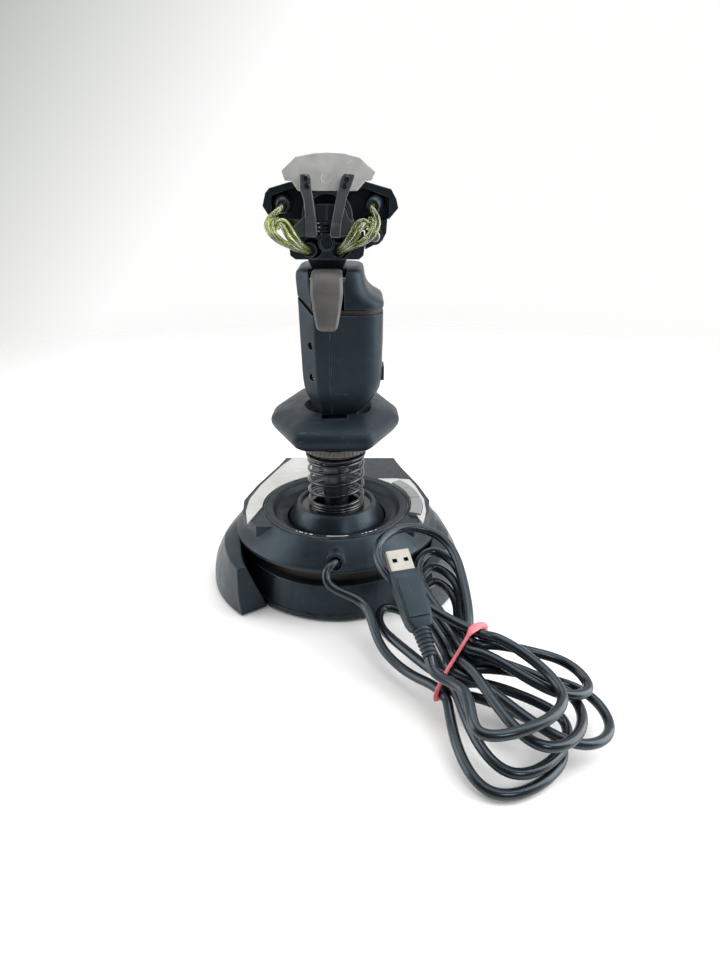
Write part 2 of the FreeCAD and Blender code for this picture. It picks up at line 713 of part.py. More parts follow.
def spring_cap():
    """Collar on the stick that the spring pushes against."""
    return turned((
        (D.shaft_radius, D.cap_top - 5.0), (12.0, D.cap_top - 5.0), (12.0, D.spring_high), (D.cap_radius, D.spring_high),
        (D.cap_radius, D.cap_top), (D.shaft_radius, D.cap_top),
    ))


# ---------------------------------------------------------------- grip

def rounded_wire(height, west, east, back, front, back_round, front_round):
    """A flat rounded rectangle at a height, with its own corner radius at the back and the front."""
    corners = (
        (east - front_round, front - front_round, front_round, 0.0),
        (west + front_round, front - front_round, front_round, 90.0),
        (west + back_round, back + back_round, back_round, 180.0),
        (east - back_round, back + back_round, back_round, 270.0),
    )
    arcs = []
    for x, y, radius, start in corners:
        circle = Part.Circle(Vector(x, y, height), Vector(0, 0, 1), radius)
        arcs.append(Part.Arc(circle, math.radians(start), math.radians(start + 90.0)).toShape())
    edges = []
    for arc, following in zip(arcs, arcs[1:] + arcs[:1]):
        edges += [arc, Part.LineSegment(arc.Vertexes[-1].Point, following.Vertexes[0].Point).toShape()]
    return Part.Wire(edges)


GRIP_LEVELS = (
    # height, west, east, back, front
    (112.0, -13.0, 11.4, -15.0, 11.0),
    (117.0, -19.0, 12.2, -23.0, 12.5),
    (127.0, -25.9, 16.6, -31.0, 15.5),
    (146.0, -26.8, 17.3, -34.0, 17.5),
    (168.5, -27.0, 18.0, -35.0, 18.5),
)
SADDLE_LEVELS = (
    (171.5, -27.0, 18.1, -35.0, 18.7),
    (175.5, -26.0, 18.2, -34.5, 18.7),
    (180.0, -20.0, 18.4, -33.0, 18.8),
    (184.0, -17.4, 18.7, -32.0, 18.6),
    (191.0, -16.6, 18.9, -30.0, 17.5),
)


def levels_loft(levels, inset, back_round, front_round, drop=0.0):
    wires = [
        rounded_wire(height - drop, west + inset, east - inset, back + inset, front - inset,
                     back_round - inset, front_round - inset)
        for height, west, east, back, front in levels
    ]
    return Part.makeLoft(wires, True, False)


def grip_shell():
    """Hollow lower grip with openings for the neck, the slide post and the release button."""
    inset = number(D.grip_wall)
    shell = levels_loft(GRIP_LEVELS, 0.0, 9.0, 7.0)
    top = GRIP_LEVELS[-1][0]
    room = levels_loft(GRIP_LEVELS, inset, 9.0, 7.0)
    room = room.common(Part.makeBox(100.0, 100.0, top - 115.0 - inset, Vector(-50.0, -50.0, 115.0)))
    neck_hole = Part.makeCylinder(number(D.neck_radius) + 0.05, 30.0, Vector(0, 0, 100.0))
    post_hole = Part.makeBox(14.2, 8.2, 20.0, Vector(-10.1, -12.1, top - 10.0))
    button_hole = Part.makeBox(10.0, 12.6, 8.6, Vector(-32.0, -6.3, 130.2))
    screw_holes = [Part.makeCylinder(2.2, 12.0, Vector(12.0, 12.0, height), Vector(0, 1, 0)) for height in SCREW_HEIGHTS]
    return shell.cut([room, neck_hole, post_hole, button_hole] + screw_holes)


SCREW_HEIGHTS = (134.3, 152.1)


def grip_half(keep_east):
    seam = number(D.seam_x)
    edge = seam + 0.03 if keep_east else seam - 100.03
    return solid(grip_shell().common(Part.makeBox(100.0, 200.0, 100.0, Vector(edge, -100.0, 100.0))))


def grip_screws():
    heads = [cylinder(2.0, 1.8, (12.0, 13.6, height), ALONG_Y) for height in SCREW_HEIGHTS]
    shanks = [cylinder(1.2, 12.0, (12.0, 2.0, height), ALONG_Y) for height in SCREW_HEIGHTS]
    return fuse(*heads, *shanks)


def neck_tube():
    """Bearing tube that turns on the shaft and carries the grip."""
    bore = D.shaft_radius + D.play
    flange = D.neck_radius + 1.5
    return turned((
        (bore, D.rest_ring_low - 0.2), (D.neck_radius, D.rest_ring_low - 0.2), (D.neck_radius, 121.0), (flange, 121.0),
        (flange, 124.0), (D.neck_radius, 124.0), (D.neck_radius, D.neck_top), (bore, D.neck_top),
    ))


def rest_ring():
    """Ribbed thumb nut that raises the hand rest."""
    body = turned((
        (D.thread_radius + 0.1, D.rest_ring_low), (16.2, D.rest_ring_low), (D.rest_ring_radius, D.rest_ring_low + 3.2),
        (D.rest_ring_radius, D.rest_ring_top), (D.thread_radius + 0.1, D.rest_ring_top),
    ))
    sketch = body_sketch(body, "XY_Plane")
    draw_circle(sketch, 0.7, (D.rest_ring_radius + 0.2, 0))
    groove = body.newObject("PartDesign::Pocket", "Groove")
    groove.Profile = sketch
    groove.Type = "ThroughAll"
    groove.Midplane = True
    ribs = body.newObject("PartDesign::PolarPattern", "Ribs")
    ribs.Originals = [groove]
    ribs.Axis = (body_plane_axis(body, "Z_Axis"), [""])
    ribs.Angle = FULL_TURN
    ribs.Occurrences = 48
    body.Tip = ribs
    return body


def body_plane_axis(body, role):
    return [axis for axis in body.Origin.OriginFeatures if axis.Role == role][0]


def rest_outline(wide, front, back, corner):
    """Eight-sided plan of the hand rest."""
    return mirrored(((corner, front), (wide, 6.0), (wide * 0.92, -18.0), (corner * 0.95, back)))


def hand_rest():
    """Faceted rest around the neck, threaded on the ribbed nut, with room for the grip above it."""
    bulk = loft(
        section(rest_outline(20.0, 19.0, -22.0, 9.0), 93.2),
        section(rest_outline(35.0, 32.0, -46.0, 20.0), 98.5),
        section(rest_outline(37.0, 31.0, -52.0, 21.0), 104.0),
        section(rest_outline(31.0, 25.0, -47.0, 17.0), 109.0),
        section(rest_outline(21.0, 15.0, -36.0, 12.0), 113.0),
    )
    sleeve = cylinder(D.thread_radius, 12.0, (0, 0, D.rest_ring_low + 0.3))
    bore = cylinder(D.neck_radius + D.play, 40.0, (0, 0, 80.0))
    recess = cylinder(14.5, 20.0, (0, 0, 106.5))
    room = levels_loft(GRIP_LEVELS[:3], -1.0, 9.0, 7.0, number(D.rest_travel) + 0.6)
    return cut(fuse(bulk, sleeve), bore, recess, solid(room))


def release_button():
    """Latch button on the left of the grip that frees the head to slide."""
    return box((-27.9, -5.9, 130.6), (-22.2, 5.9, 138.4))


# ---------------------------------------------------------------- head

def slide_post():
    low = (-10.0, -12.0, D.grip_top - 22.0)
    return box(low, (D.post_x - 10.0, D.post_y - 12.0, D.saddle_low))


def thumb_saddle():
    """Upper grip with the thumb ledge, slotted in front for the trigger."""
    inset = number(D.grip_wall)
    bulk = levels_loft(SADDLE_LEVELS, 0.0, 9.0, 7.0)
    low, top = number(D.saddle_low), number(D.saddle_top)
    room = levels_loft(SADDLE_LEVELS, inset, 9.0, 7.0)
    room = room.common(Part.makeBox(100.0, 52.0, top - low - 2.0 * inset, Vector(-50.0, -50.0, low + inset)))
    slot = Part.makeBox(17.2, 30.0, 40.0, Vector(-6.4, 8.0, 160.0))
    pin_hole = Part.makeCylinder(
        number(D.trigger_pin), 26.0, Vector(-10.8, number(D.trigger_y), number(D.trigger_z)), Vector(1, 0, 0))
    return solid(bulk.cut([room, slot, pin_hole]))


def trigger():
    """Curved lever in front of the grip, wide at its pivot and narrow at its tip."""
    profile = side_pad((
        (11.0, 182.0), (11.0, 189.0), (14.0, 191.8), (22.0, 191.8), (25.5, 189.5), (27.0, 182.0), (28.8, 172.0),
        (29.2, 162.0), (28.0, 160.0), (25.5, 160.6), (23.5, 170.0), (20.8, 179.0), (17.0, 182.0),
    ), -7.0, 12.0)
    face = front_pad((
        (-5.8, 181.0), (-5.5, 190.2), (-4.0, 192.0), (8.6, 192.0), (10.1, 190.2), (10.2, 181.0), (8.6, 165.0),
        (6.6, 159.5), (-2.0, 159.5), (-4.0, 165.0),
    ), 5.0, 35.0)
    bore = cylinder(D.trigger_pin + D.play, 30.0, (-12.0, D.trigger_y, D.trigger_z), ALONG_X)
    return cut(common(profile, face), bore)


def trigger_pin():
    return cylinder(D.trigger_pin, 25.6, (-10.6, D.trigger_y, D.trigger_z), ALONG_X)


def head_neck():
    return loft(
        section(((-5.7, -14.0), (10.3, -14.0), (10.3, 10.0), (-5.7, 10.0)), D.saddle_top),
        section(((-7.8, -16.0), (12.2, -16.0), (12.2, 12.0), (-7.8, 12.0)), D.neck_high),
    )


def lower_head():
    """Lower block of the head with two sockets for the light tubes and the core behind the round ring."""
    front = D.arm_y - 0.3
    block = front_pad((
        (-14.0, D.head_floor), (18.0, D.head_floor), (20.6, 198.0), (21.2, 203.0), (20.0, D.head_deck),
        (-16.6, D.head_deck), (-17.0, 203.0), (-16.2, 198.0),
    ), -15.0, front)
    core = box((-11.0, -12.0, D.head_deck - 0.5), (15.0, 1.8, 214.0))
    stem = cylinder(3.2, 7.5, (2.7, 9.5, D.head_deck - 0.5))
    sockets = [cylinder(5.0, 9.0, (x, 7.5, 201.7), ALONG_Y) for x in (9.3, -4.6)]
    ring_gap = cylinder(D.hub_ring_radius + 0.2, 5.4, (D.hub_x, 2.2, D.hub_z), ALONG_Y)
    return cut(fuse(block, core, stem), ring_gap, *sockets)


def hub_ring():
    inner = D.hub_ring_radius - 2.4
    return turned(
        ((inner, 0), (D.hub_ring_radius, 0), (D.hub_ring_radius, 5.0), (inner, 5.0)),
        (D.hub_x, 2.4, D.hub_z), ALONG_Y,
    )


def head_shell():
    """Wing-shaped cover, open in front around the ring and the tube bosses."""
    wing = front_pad((
        (-28.7, 214.4), (-33.7, 220.0), (-32.6, 224.2), (-30.0, 228.7), (-17.0, 232.2), (20.3, 232.0), (30.4, 229.2),
        (32.5, 227.0), (34.2, 221.0), (30.1, 214.4),
    ), -14.0, 9.0)
    hollow = front_pad((
        (-29.0, 213.0), (-29.0, 224.8), (-16.0, 229.4), (19.0, 229.4), (29.5, 225.6), (30.0, 213.0),
    ), 1.9, 10.0)
    core_gap = box((-11.3, -13.0, 213.0), (15.3, 2.0, 214.3))
    board_gap = box((-24.0, -11.5, 216.5), (25.0, -2.0, 229.0))
    return cut(wing, hollow, core_gap, board_gap)


def crest_plate():
    """Sheet-metal crest at the top of the head, leaning back behind the two arms."""
    body = doc.addObject("PartDesign::Body", "Crest")
    sketch = body_sketch(body, "XZ_Plane")
    draw_outline(sketch, (
        (-13.1, 0.0), (15.7, 0.0), (18.8, 4.6), (22.2, 4.9), (23.6, 9.0), (16.5, 15.4), (8.0, 17.0), (0.5, 17.4),
        (-7.0, 16.9), (-14.5, 14.9), (-22.1, 8.4), (-20.2, 4.9), (-17.4, 4.6),
    ))
    pad(body, sketch, 1.4)
    lean = Rotation(Vector(1, 0, 0), 14.0)
    return place(body, (0, D.arm_y - 0.4, 228.2), lean)


def arm_outline(side):
    """Front view of one bracket arm: an upright strip that flares into a foot."""
    if side > 0:
        return (
            (14.2, 235.5), (8.8, 235.5), (7.5, 228.5), (6.9, 217.4), (6.0, 211.4), (6.6, 207.8), (9.6, 207.2),
            (17.0, 207.8), (19.8, 211.0), (13.3, 213.3), (12.2, 218.7), (13.4, 226.3),
        )
    return (
        (-6.4, 235.5), (-12.2, 235.2), (-9.2, 227.2), (-6.3, 221.9), (-6.7, 218.3), (-8.6, 214.2), (-14.5, 211.9),
        (-12.0, 207.8), (-4.6, 207.2), (-0.6, 207.6), (-0.9, 215.1), (-3.0, 228.5),
    )


ARM_SCREWS = ((11.2, 233.0), (10.6, 230.0), (-9.0, 233.0), (-8.0, 230.0))


def bracket_arms():
    arms = [front_pad(arm_outline(side), D.arm_y, D.arm_y + D.arm_thick) for side in (1, -1)]
    holes = [cylinder(0.9, 8.0, (x, D.arm_y - 2.0, z), ALONG_Y) for x, z in ARM_SCREWS]
    return cut(fuse(*arms), *holes)


def bracket_screws():
    front = D.arm_y + D.arm_thick
    heads = [cylinder(1.5, 1.0, (x, front, z), ALONG_Y) for x, z in ARM_SCREWS]
    shanks = [cylinder(0.9, D.arm_thick, (x, D.arm_y, z), ALONG_Y) for x, z in ARM_SCREWS]
    return fuse(*heads, *shanks)


BOSS_PLACES = ((24.6, 222.4), (-22.4, 222.2))


def tube_bosses():
    """Round holders for the upper ends of the light tubes."""
    blocks = [cylinder(3.8, 8.0, (x, 1.9, z), ALONG_Y) for x, z in BOSS_PLACES]
    holes = [cylinder(D.glow_radius + 0.5, 5.0, (x, 6.9, z), ALONG_Y) for x, z in BOSS_PLACES]
    return cut(fuse(*blocks), *holes)


def glow_tubes():
    """Two light tubes a side: one loops from the boss, one from the side of the core, to the lower socket."""
    tubes = []
    for side, boss_x, socket_x, width in ((1, 24.6, 9.3, 29.2), (-1, -22.4, -4.6, 22.6)):
        boss_z = 222.4 if side > 0 else 222.2
        tubes.append(sweep([
            Vector(boss_x, 7.2, boss_z), Vector(boss_x, 11.5, boss_z), Vector(side * (width - 1.6), 16.0, 218.5),
            Vector(side * width, 18.5, 212.5), Vector(side * (width - 4.0), 21.0, 206.0),
            Vector(side * (width - 12.0), 22.6, 202.2), Vector(socket_x + side * 4.0, 22.0, 200.2),
            Vector(socket_x + side * 1.4, 18.0, 199.6), Vector(socket_x + side * 1.0, 11.0, 199.6),
        ], D.glow_radius))
        tubes.append(sweep([
            Vector(side * (width - 6.0), 13.4, 212.2), Vector(side * (width - 5.0), 17.0, 213.4),
            Vector(side * (width - 7.5), 21.6, 211.0), Vector(side * (width - 12.0), 24.4, 207.2),
            Vector(socket_x + side * 4.0, 23.8, 204.8), Vector(socket_x, 19.0, 203.9), Vector(socket_x, 11.0, 203.9),
        ], D.glow_radius))
    return solid(Part.makeCompound(tubes))


def side_pod():
    """Housing of the trim wheel on the left of the head."""
    pod = front_pad(((-28.4, 214.2), (-28.0, 208.2), (-26.0, 204.3), (-17.2, 200.0), (-17.2, 214.2)), -12.0, 5.0)
    return cut(pod, cylinder(1.5 + D.play, 20.0, (-21.9, 0.0, 206.6), ALONG_Y))


def trim_wheel():
    return turned(
        ((0, -4.0), (1.5, -4.0), (1.5, 0.2), (4.4, 0.2), (4.4, 2.4), (3.9, 2.9), (0, 2.9)),
        (-21.9, 5.0, 206.6), ALONG_Y,
    )


BUTTON_PLACES = ((-15.0, 214.0), (18.0, 214.0))


def face_plate():
    """Panel towards the user, with openings for the hat and two buttons."""
    panel = front_pad((
        (-22.0, 208.0), (26.0, 208.0), (29.0, 220.0), (22.0, 230.5), (-19.0, 230.5), (-28.0, 220.0),
    ), D.face_y, D.face_y + 3.0)
    hat_hole = cylinder(D.hat_radius - 1.0, 10.0, (D.hub_x, D.face_y - 3.0, D.hat_z), ALONG_Y)
    button_holes = [cylinder(4.1, 10.0, (x, D.face_y - 3.0, z), ALONG_Y) for x, z in BUTTON_PLACES]
    return cut(panel, hat_hole, *button_holes)


def hat_cross():
    """Small cross that lets the hat tip two ways."""
    return box((D.hub_x - 1.5, D.face_y + 0.5, D.hat_z - 1.5), (D.hub_x + 1.5, D.face_y + 2.2, D.hat_z + 1.5))


def hat_cap():
    """Eight-way thumb hat: a dished cap on a short stem."""
    return turned(
        ((0, 0.2), (3.0, 0.2), (3.0, 3.2), (D.hat_radius, 4.2), (D.hat_radius, 6.2), (5.4, 7.2), (0, 6.0)),
        (D.hub_x, D.face_y, D.hat_z), Rotation(Vector(0, 0, 1), Vector(0, -1, 0)),
    )


def thumb_button(index):
    x, z = BUTTON_PLACES[index]
    return turned(
        ((0, -1.4), (4.0, -1.4), (4.0, 2.0), (3.2, 2.8), (0, 3.0)),
        (x, D.face_y, z), Rotation(Vector(0, 0, 1), Vector(0, -1, 0)),
    )


# ---------------------------------------------------------------- the assembly

SUB_PARTS = {
    "rubber_feet": rubber_feet,
    "base_plate": base_plate,
    "base_screws": base_screws,
    "lower_shell": lower_shell,
    "slot_band": slot_band,
    "fender_right": lambda: fender(1),
    "fender_left": lambda: fender(-1),
    "top_shell": top_shell,
    "dish": dish,
    "deck_plate": deck_plate,
    "button_board": button_board,
    "gimbal_cradle": gimbal_cradle,
    "sensor_board": sensor_board,
    "spring_seat": spring_seat,
    "throttle_axle": throttle_axle,
    "cable_grommet": cable_grommet,
    "usb_cable": usb_cable,
    "plug_body": plug_body,
    "usb_shell": usb_shell,
    "usb_tongue": usb_tongue,
    "cable_band": cable_band,
    "centering_spring": centering_spring,
    "lock_dial": lock_dial,
    "base_button_1": lambda: base_button(0),
    "base_button_2": lambda: base_button(1),
    "base_button_3": lambda: base_button(2),
    "throttle_lever_left": lambda: throttle_lever(-1),
    "throttle_lever_right": lambda: throttle_lever(1),
    "gimbal_ring": gimbal_ring,
    "roll_pins": roll_pins,
    "stick_shaft": stick_shaft,
    "pitch_axle": pitch_axle,
    "spring_cap": spring_cap,
    "neck_tube": neck_tube,
    "grip_right": lambda: grip_half(True),
    "grip_left": lambda: grip_half(False),
    "grip_screws": grip_screws,
    "hand_rest": hand_rest,
    "rest_ring": rest_ring,
    "release_button": release_button,
    "slide_post": slide_post,
    "thumb_saddle": thumb_saddle,
    "trigger": trigger,
    "trigger_pin": trigger_pin,
    "head_neck": head_neck,
    "lower_head": lower_head,
    "hub_ring": hub_ring,
    "head_shell": head_shell,
    "crest_plate": crest_plate,
    "bracket_arms": bracket_arms,
    "bracket_screws": bracket_screws,
    "tube_bosses": tube_bosses,
    "glow_tubes": glow_tubes,
    "side_pod": side_pod,
    "trim_wheel": trim_wheel,
    "face_plate": face_plate,
    "hat_cross": hat_cross,
    "hat_cap": hat_cap,
    "thumb_button_left": lambda: thumb_button(0),
    "thumb_button_right": lambda: thumb_button(1),
}


def build():
    pieces = {}
    for name, make in SUB_PARTS.items():
        pieces[name] = make()
        pieces[name].Label = name
    doc.recompute()
    return pieces


def check(pieces):
    faults = [item.Label for item in doc.Objects if "Invalid" in item.State or "Error" in item.State]
    for name, piece in pieces.items():
        if piece.Shape.isNull() or not piece.Shape.isValid() or not piece.Shape.Solids:
            faults.append(name)
    if faults:
        raise RuntimeError("failed pieces: " + ", ".join(faults))


def export(pieces):
    os.makedirs("parts", exist_ok=True)
    for name, piece in pieces.items():
        piece.Shape.exportStep(f"parts/{name}.step")


sub_parts = build()
check(sub_parts)
export(sub_parts)
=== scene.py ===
"""Looks of the flight joystick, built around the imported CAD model.

Lengths in this script are millimetres until a mesh is made; the frame is the CAD's:
origin on the floor under the stick, +Y away from the user, +X to the user's right.
"""

import math

import bmesh
import bpy
import numpy as np
from mathutils import Matrix, Vector


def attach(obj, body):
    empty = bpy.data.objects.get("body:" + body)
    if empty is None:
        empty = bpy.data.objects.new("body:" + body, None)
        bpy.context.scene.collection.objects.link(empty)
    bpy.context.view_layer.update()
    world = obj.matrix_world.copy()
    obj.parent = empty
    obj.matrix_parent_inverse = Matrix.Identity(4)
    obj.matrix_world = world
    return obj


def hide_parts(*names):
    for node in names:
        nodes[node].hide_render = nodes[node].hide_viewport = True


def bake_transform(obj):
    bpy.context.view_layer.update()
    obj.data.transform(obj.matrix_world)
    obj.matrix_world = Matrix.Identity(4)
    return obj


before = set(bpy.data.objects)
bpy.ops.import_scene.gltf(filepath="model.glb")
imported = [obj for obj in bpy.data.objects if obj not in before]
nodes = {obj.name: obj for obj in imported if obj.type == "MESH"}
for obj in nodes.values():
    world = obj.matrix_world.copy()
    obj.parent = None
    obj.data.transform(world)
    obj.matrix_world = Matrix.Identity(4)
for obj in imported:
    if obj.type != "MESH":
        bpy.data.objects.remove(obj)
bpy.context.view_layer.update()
MM = 0.001
scene = bpy.context.scene


# ---------------------------------------------------------------- materials

def new_node(tree, kind, **values):
    """A shader node with its settings and its inputs' values."""
    made = tree.nodes.new("ShaderNode" + kind)
    for key, value in values.items():
        if key in made.inputs:
            made.inputs[key].default_value = value
        else:
            setattr(made, key, value)
    return made


def range_node(tree, low, high, out_low=0.0, out_high=1.0, **values):
    limits = {"From Min": low, "From Max": high, "To Min": out_low, "To Max": out_high}
    return new_node(tree, "MapRange", **limits, **values)


def finish(name, color, rough, metal=0.0, tint=0.18, grain=0.25, grain_size=0.35, scuff=0.0, wear=0.0,
           speck=0.0, coat=0.0, brushed=False, wear_color=(0.30, 0.31, 0.32), shine=0.5,
           shine_tint=(1.0, 1.0, 1.0)):
    """A surface with cloudy colour, a fine bump, rubbed edges, fine scuffs and dust specks."""
    mat = bpy.data.materials.new(name)
    mat.use_nodes = True
    tree = mat.node_tree
    shader = tree.nodes["Principled BSDF"]
    link = tree.links.new

    def node(kind, **values):
        return new_node(tree, kind, **values)

    def noise(scale, detail=3.0, stretch=None):
        made = node("TexNoise", Scale=scale, Detail=detail)
        if stretch:
            shape = node("Mapping", Scale=stretch, Rotation=(0.4, 0.3, 0.6))
            link(place.outputs["Object"], shape.inputs["Vector"])
            link(shape.outputs["Vector"], made.inputs["Vector"])
        else:
            link(place.outputs["Object"], made.inputs["Vector"])
        return made.outputs["Fac"]

    def remap(value, low, high, out_low=0.0, out_high=1.0):
        made = range_node(tree, low, high, out_low, out_high)
        link(value, made.inputs["Value"])
        return made.outputs["Result"]

    def times(first, second):
        made = node("Math", operation="MULTIPLY")
        link(first, made.inputs[0])
        if isinstance(second, float):
            made.inputs[1].default_value = second
        else:
            link(second, made.inputs[1])
        return made.outputs[0]

    def blend_color(under, over, share):
        made = node("Mix", data_type="RGBA")
        link(share, made.inputs["Factor"])
        for socket, value in ((made.inputs[6], under), (made.inputs[7], over)):
            if isinstance(value, tuple):
                socket.default_value = (*value, 1.0)
            else:
                link(value, socket)
        return made.outputs[2]

    place = node("TexCoord")
    cloud = noise(70.0, 4.0)
    surface = blend_color(tuple(c * (1.0 - tint) for c in color), tuple(c * (1.0 + tint) for c in color),
                          remap(cloud, 0.35, 0.65))
    roughness = remap(noise(160.0, 5.0), 0.3, 0.7, rough - 0.06, rough + 0.08)
    height = noise(1000.0 / grain_size, 2.0) if not brushed else noise(600.0, 3.0, (0.06, 1.0, 6.0))
    if scuff:
        lines = remap(noise(260.0, 6.0, (0.35, 3.2, 1.0)), 0.60, 0.68, 0.0, scuff)
        lines = times(lines, remap(noise(45.0, 2.0), 0.48, 0.62))
        surface = blend_color(surface, tuple(min(1.0, c * 1.8 + 0.05) for c in color), lines)
    if speck:
        dots = node("TexVoronoi", Scale=420.0)
        link(place.outputs["Object"], dots.inputs["Vector"])
        spots = times(remap(dots.outputs["Distance"], 0.10, 0.05, 0.0, speck),
                      remap(noise(35.0, 2.0), 0.5, 0.62))
        surface = blend_color(surface, (0.28, 0.28, 0.27), spots)
    if wear:
        edge = node("Bevel", samples=4, Radius=0.0007)
        shape = node("NewGeometry")
        match = node("VectorMath", operation="DOT_PRODUCT")
        link(edge.outputs["Normal"], match.inputs[0])
        link(shape.outputs["Normal"], match.inputs[1])
        rubbed = times(remap(match.outputs["Value"], 0.995, 0.90, 0.0, wear),
                       remap(noise(110.0, 4.0), 0.35, 0.6))
        surface = blend_color(surface, wear_color, rubbed)
    bump = node("Bump", Strength=grain, Distance=0.00012)
    link(height, bump.inputs["Height"])
    link(surface, shader.inputs["Base Color"])
    link(roughness, shader.inputs["Roughness"])
    link(bump.outputs["Normal"], shader.inputs["Normal"])
    shader.inputs["Metallic"].default_value = metal
    shader.inputs["Specular IOR Level"].default_value = shine
    shader.inputs["Specular Tint"].default_value = (*shine_tint, 1.0)
    shader.inputs["Coat Weight"].default_value = coat
    shader.inputs["Coat Roughness"].default_value = 0.12
    return mat


COOL = (0.66, 0.86, 1.0)
# colour, roughness and what else the surface shows
LOOKS = {
    "charcoal": ((0.0070, 0.0100, 0.0140), 0.42,
        dict(shine=0.34, shine_tint=COOL, grain=0.5, wear=0.35, scuff=0.25, speck=0.3)),
    "satin_black": ((0.0070, 0.0102, 0.0145), 0.34,
        dict(shine=0.38, shine_tint=COOL, grain=0.3, wear=0.30, scuff=0.2, speck=0.25)),
    "dark_inside": ((0.012, 0.006, 0.006), 0.55, {}),
    "grip_rubber": ((0.0075, 0.0115, 0.0165), 0.43,
        dict(shine=0.34, shine_tint=COOL, grain=0.45, grain_size=0.25, wear=0.35, scuff=0.45, speck=0.6)),
    "warm_grey": ((0.078, 0.076, 0.073), 0.42,
        dict(grain=0.35, wear=0.6, scuff=0.3, wear_color=(0.42, 0.41, 0.39))),
    "arm_grey": ((0.040, 0.046, 0.052), 0.38,
        dict(grain=0.35, wear=0.7, scuff=0.3, wear_color=(0.50, 0.50, 0.50))),
    "silver_sheet": ((0.60, 0.60, 0.58), 0.34,
        dict(metal=0.55, tint=0.06, scuff=0.5, wear=0.4, brushed=True, grain=0.10,
             wear_color=(0.8, 0.8, 0.8))),
    "key_silver": ((0.24, 0.26, 0.26), 0.38,
        dict(metal=0.25, tint=0.06, wear=0.3, wear_color=(0.75, 0.75, 0.75))),
    "spring_steel": ((0.020, 0.022, 0.026), 0.20, dict(metal=0.6, coat=0.6)),
    "bright_steel": ((0.50, 0.50, 0.50), 0.28, dict(metal=1.0, tint=0.08)),
    "black_shaft": ((0.010, 0.011, 0.014), 0.30, dict(coat=0.3)),
    "cord_pvc": ((0.0045, 0.0065, 0.0095), 0.27,
        dict(shine=0.42, shine_tint=COOL, grain=0.12, grain_size=0.6, coat=0.25, speck=0.25)),
    "plug_pvc": ((0.0080, 0.0120, 0.0165), 0.42,
        dict(shine=0.38, shine_tint=COOL, grain=0.4, speck=0.4, wear=0.2)),
    "nickel": ((0.27, 0.26, 0.235), 0.36, dict(metal=0.9, tint=0.06, brushed=True, grain=0.06)),
    "white_plastic": ((0.72, 0.72, 0.70), 0.40, dict(tint=0.05)),
    "red_rubber": ((0.72, 0.16, 0.20), 0.45, dict(tint=0.15, grain=0.5)),
    "foot_rubber": ((0.025, 0.025, 0.025), 0.75, dict(grain=0.7)),
    "board_green": ((0.02, 0.12, 0.06), 0.40, {}),
    "mark_white": ((0.62, 0.64, 0.64), 0.50, dict(tint=0.2)),
    "black_hole": ((0.004, 0.004, 0.006), 0.60, {}),
}
MATERIALS = {name: finish(name, color, rough, **more) for name, (color, rough, more) in LOOKS.items()}


def glow_material():
    """Clear flexible tube: yellow-green body with a pale core and a glossy skin."""
    mat = finish("glow_clear", (0.36, 0.42, 0.13), 0.10, tint=0.35, grain=0.05, coat=1.0)
    shader = mat.node_tree.nodes["Principled BSDF"]
    shader.inputs["Transmission Weight"].default_value = 0.85
    shader.inputs["IOR"].default_value = 1.45
    shader.inputs["Subsurface Weight"].default_value = 0.10
    shader.inputs["Subsurface Radius"].default_value = (0.004, 0.004, 0.002)
    return mat


MATERIALS["glow_clear"] = glow_material()

# ---------------------------------------------------------------- mesh building blocks

def vec(*numbers):
    return Vector(numbers)


def shape_of(verts, faces):
    """A new editable mesh from points in millimetres and faces."""
    made = bmesh.new()
    corners = [made.verts.new(Vector(v) * MM) for v in verts]
    for face in faces:
        made.faces.new([corners[i] for i in face])
    bmesh.ops.recalc_face_normals(made, faces=made.faces)
    return made


def bands(rings, closed=False):
    """Faces between rings of equal length, with flat ends unless the rings close on themselves."""
    count = len(rings[0])
    faces = []
    last = len(rings) if closed else len(rings) - 1
    for level in range(last):
        low, high = level * count, (level + 1) % len(rings) * count
        for k in range(count):
            after = (k + 1) % count
            faces.append((low + k, low + after, high + after, high + k))
    if not closed:
        faces.append(tuple(range(count))[::-1])
        top = (len(rings) - 1) * count
        faces.append(tuple(range(top, top + count)))
    return faces


def skin(rings, closed=False):
    return shape_of([p for ring in rings for p in ring], bands(rings, closed))


def rounded(corners, steps=5):
    """An outline from (across, up, radius) corners, each rounded by its own radius."""
    points = []
    count = len(corners)
    for k, (x, y, radius) in enumerate(corners):
        here = Vector((x, y))
        before = Vector(corners[k - 1][:2]) - here
        after = Vector(corners[(k + 1) % count][:2]) - here
        half = before.angle(after) / 2.0
        setback = min(radius / math.tan(half), before.length * 0.49, after.length * 0.49)
        start, end = here + before.normalized() * setback, here + after.normalized() * setback
        for step in range(steps):
            t = step / (steps - 1)
            points.append(start.lerp(here, t).lerp(here.lerp(end, t), t))
    return points


def plate(west, east, low, high, corner):
    """A rectangle with equally rounded corners."""
    return rounded(((west, low, corner), (east, low, corner), (east, high, corner), (west, high, corner)))


def prism(outline, axis, near, far):
    """A prism of an outline, run along x, y or z."""
    def at(point, depth):
        a, b = point
        return {"x": (depth, a, b), "y": (a, depth, b), "z": (a, b, depth)}[axis]
    return skin([[at(p, depth) for p in outline] for depth in (near, far)])


def lathe(profile, center, axis="z", steps=64):
    """A closed turned solid from (radius, height) points around an axis through center."""
    rings = []
    for k in range(steps):
        turn = math.tau * k / steps
        c, s = math.cos(turn), math.sin(turn)
        ring = []
        for radius, height in profile:
            radius = max(radius, 0.01)
            local = {"z": (radius * c, radius * s, height), "y": (radius * c, height, -radius * s),
                     "-y": (radius * c, -height, radius * s), "x": (height, radius * c, radius * s)}[axis]
            ring.append(Vector(local) + Vector(center))
        rings.append(ring)
    return skin(rings, closed=True)


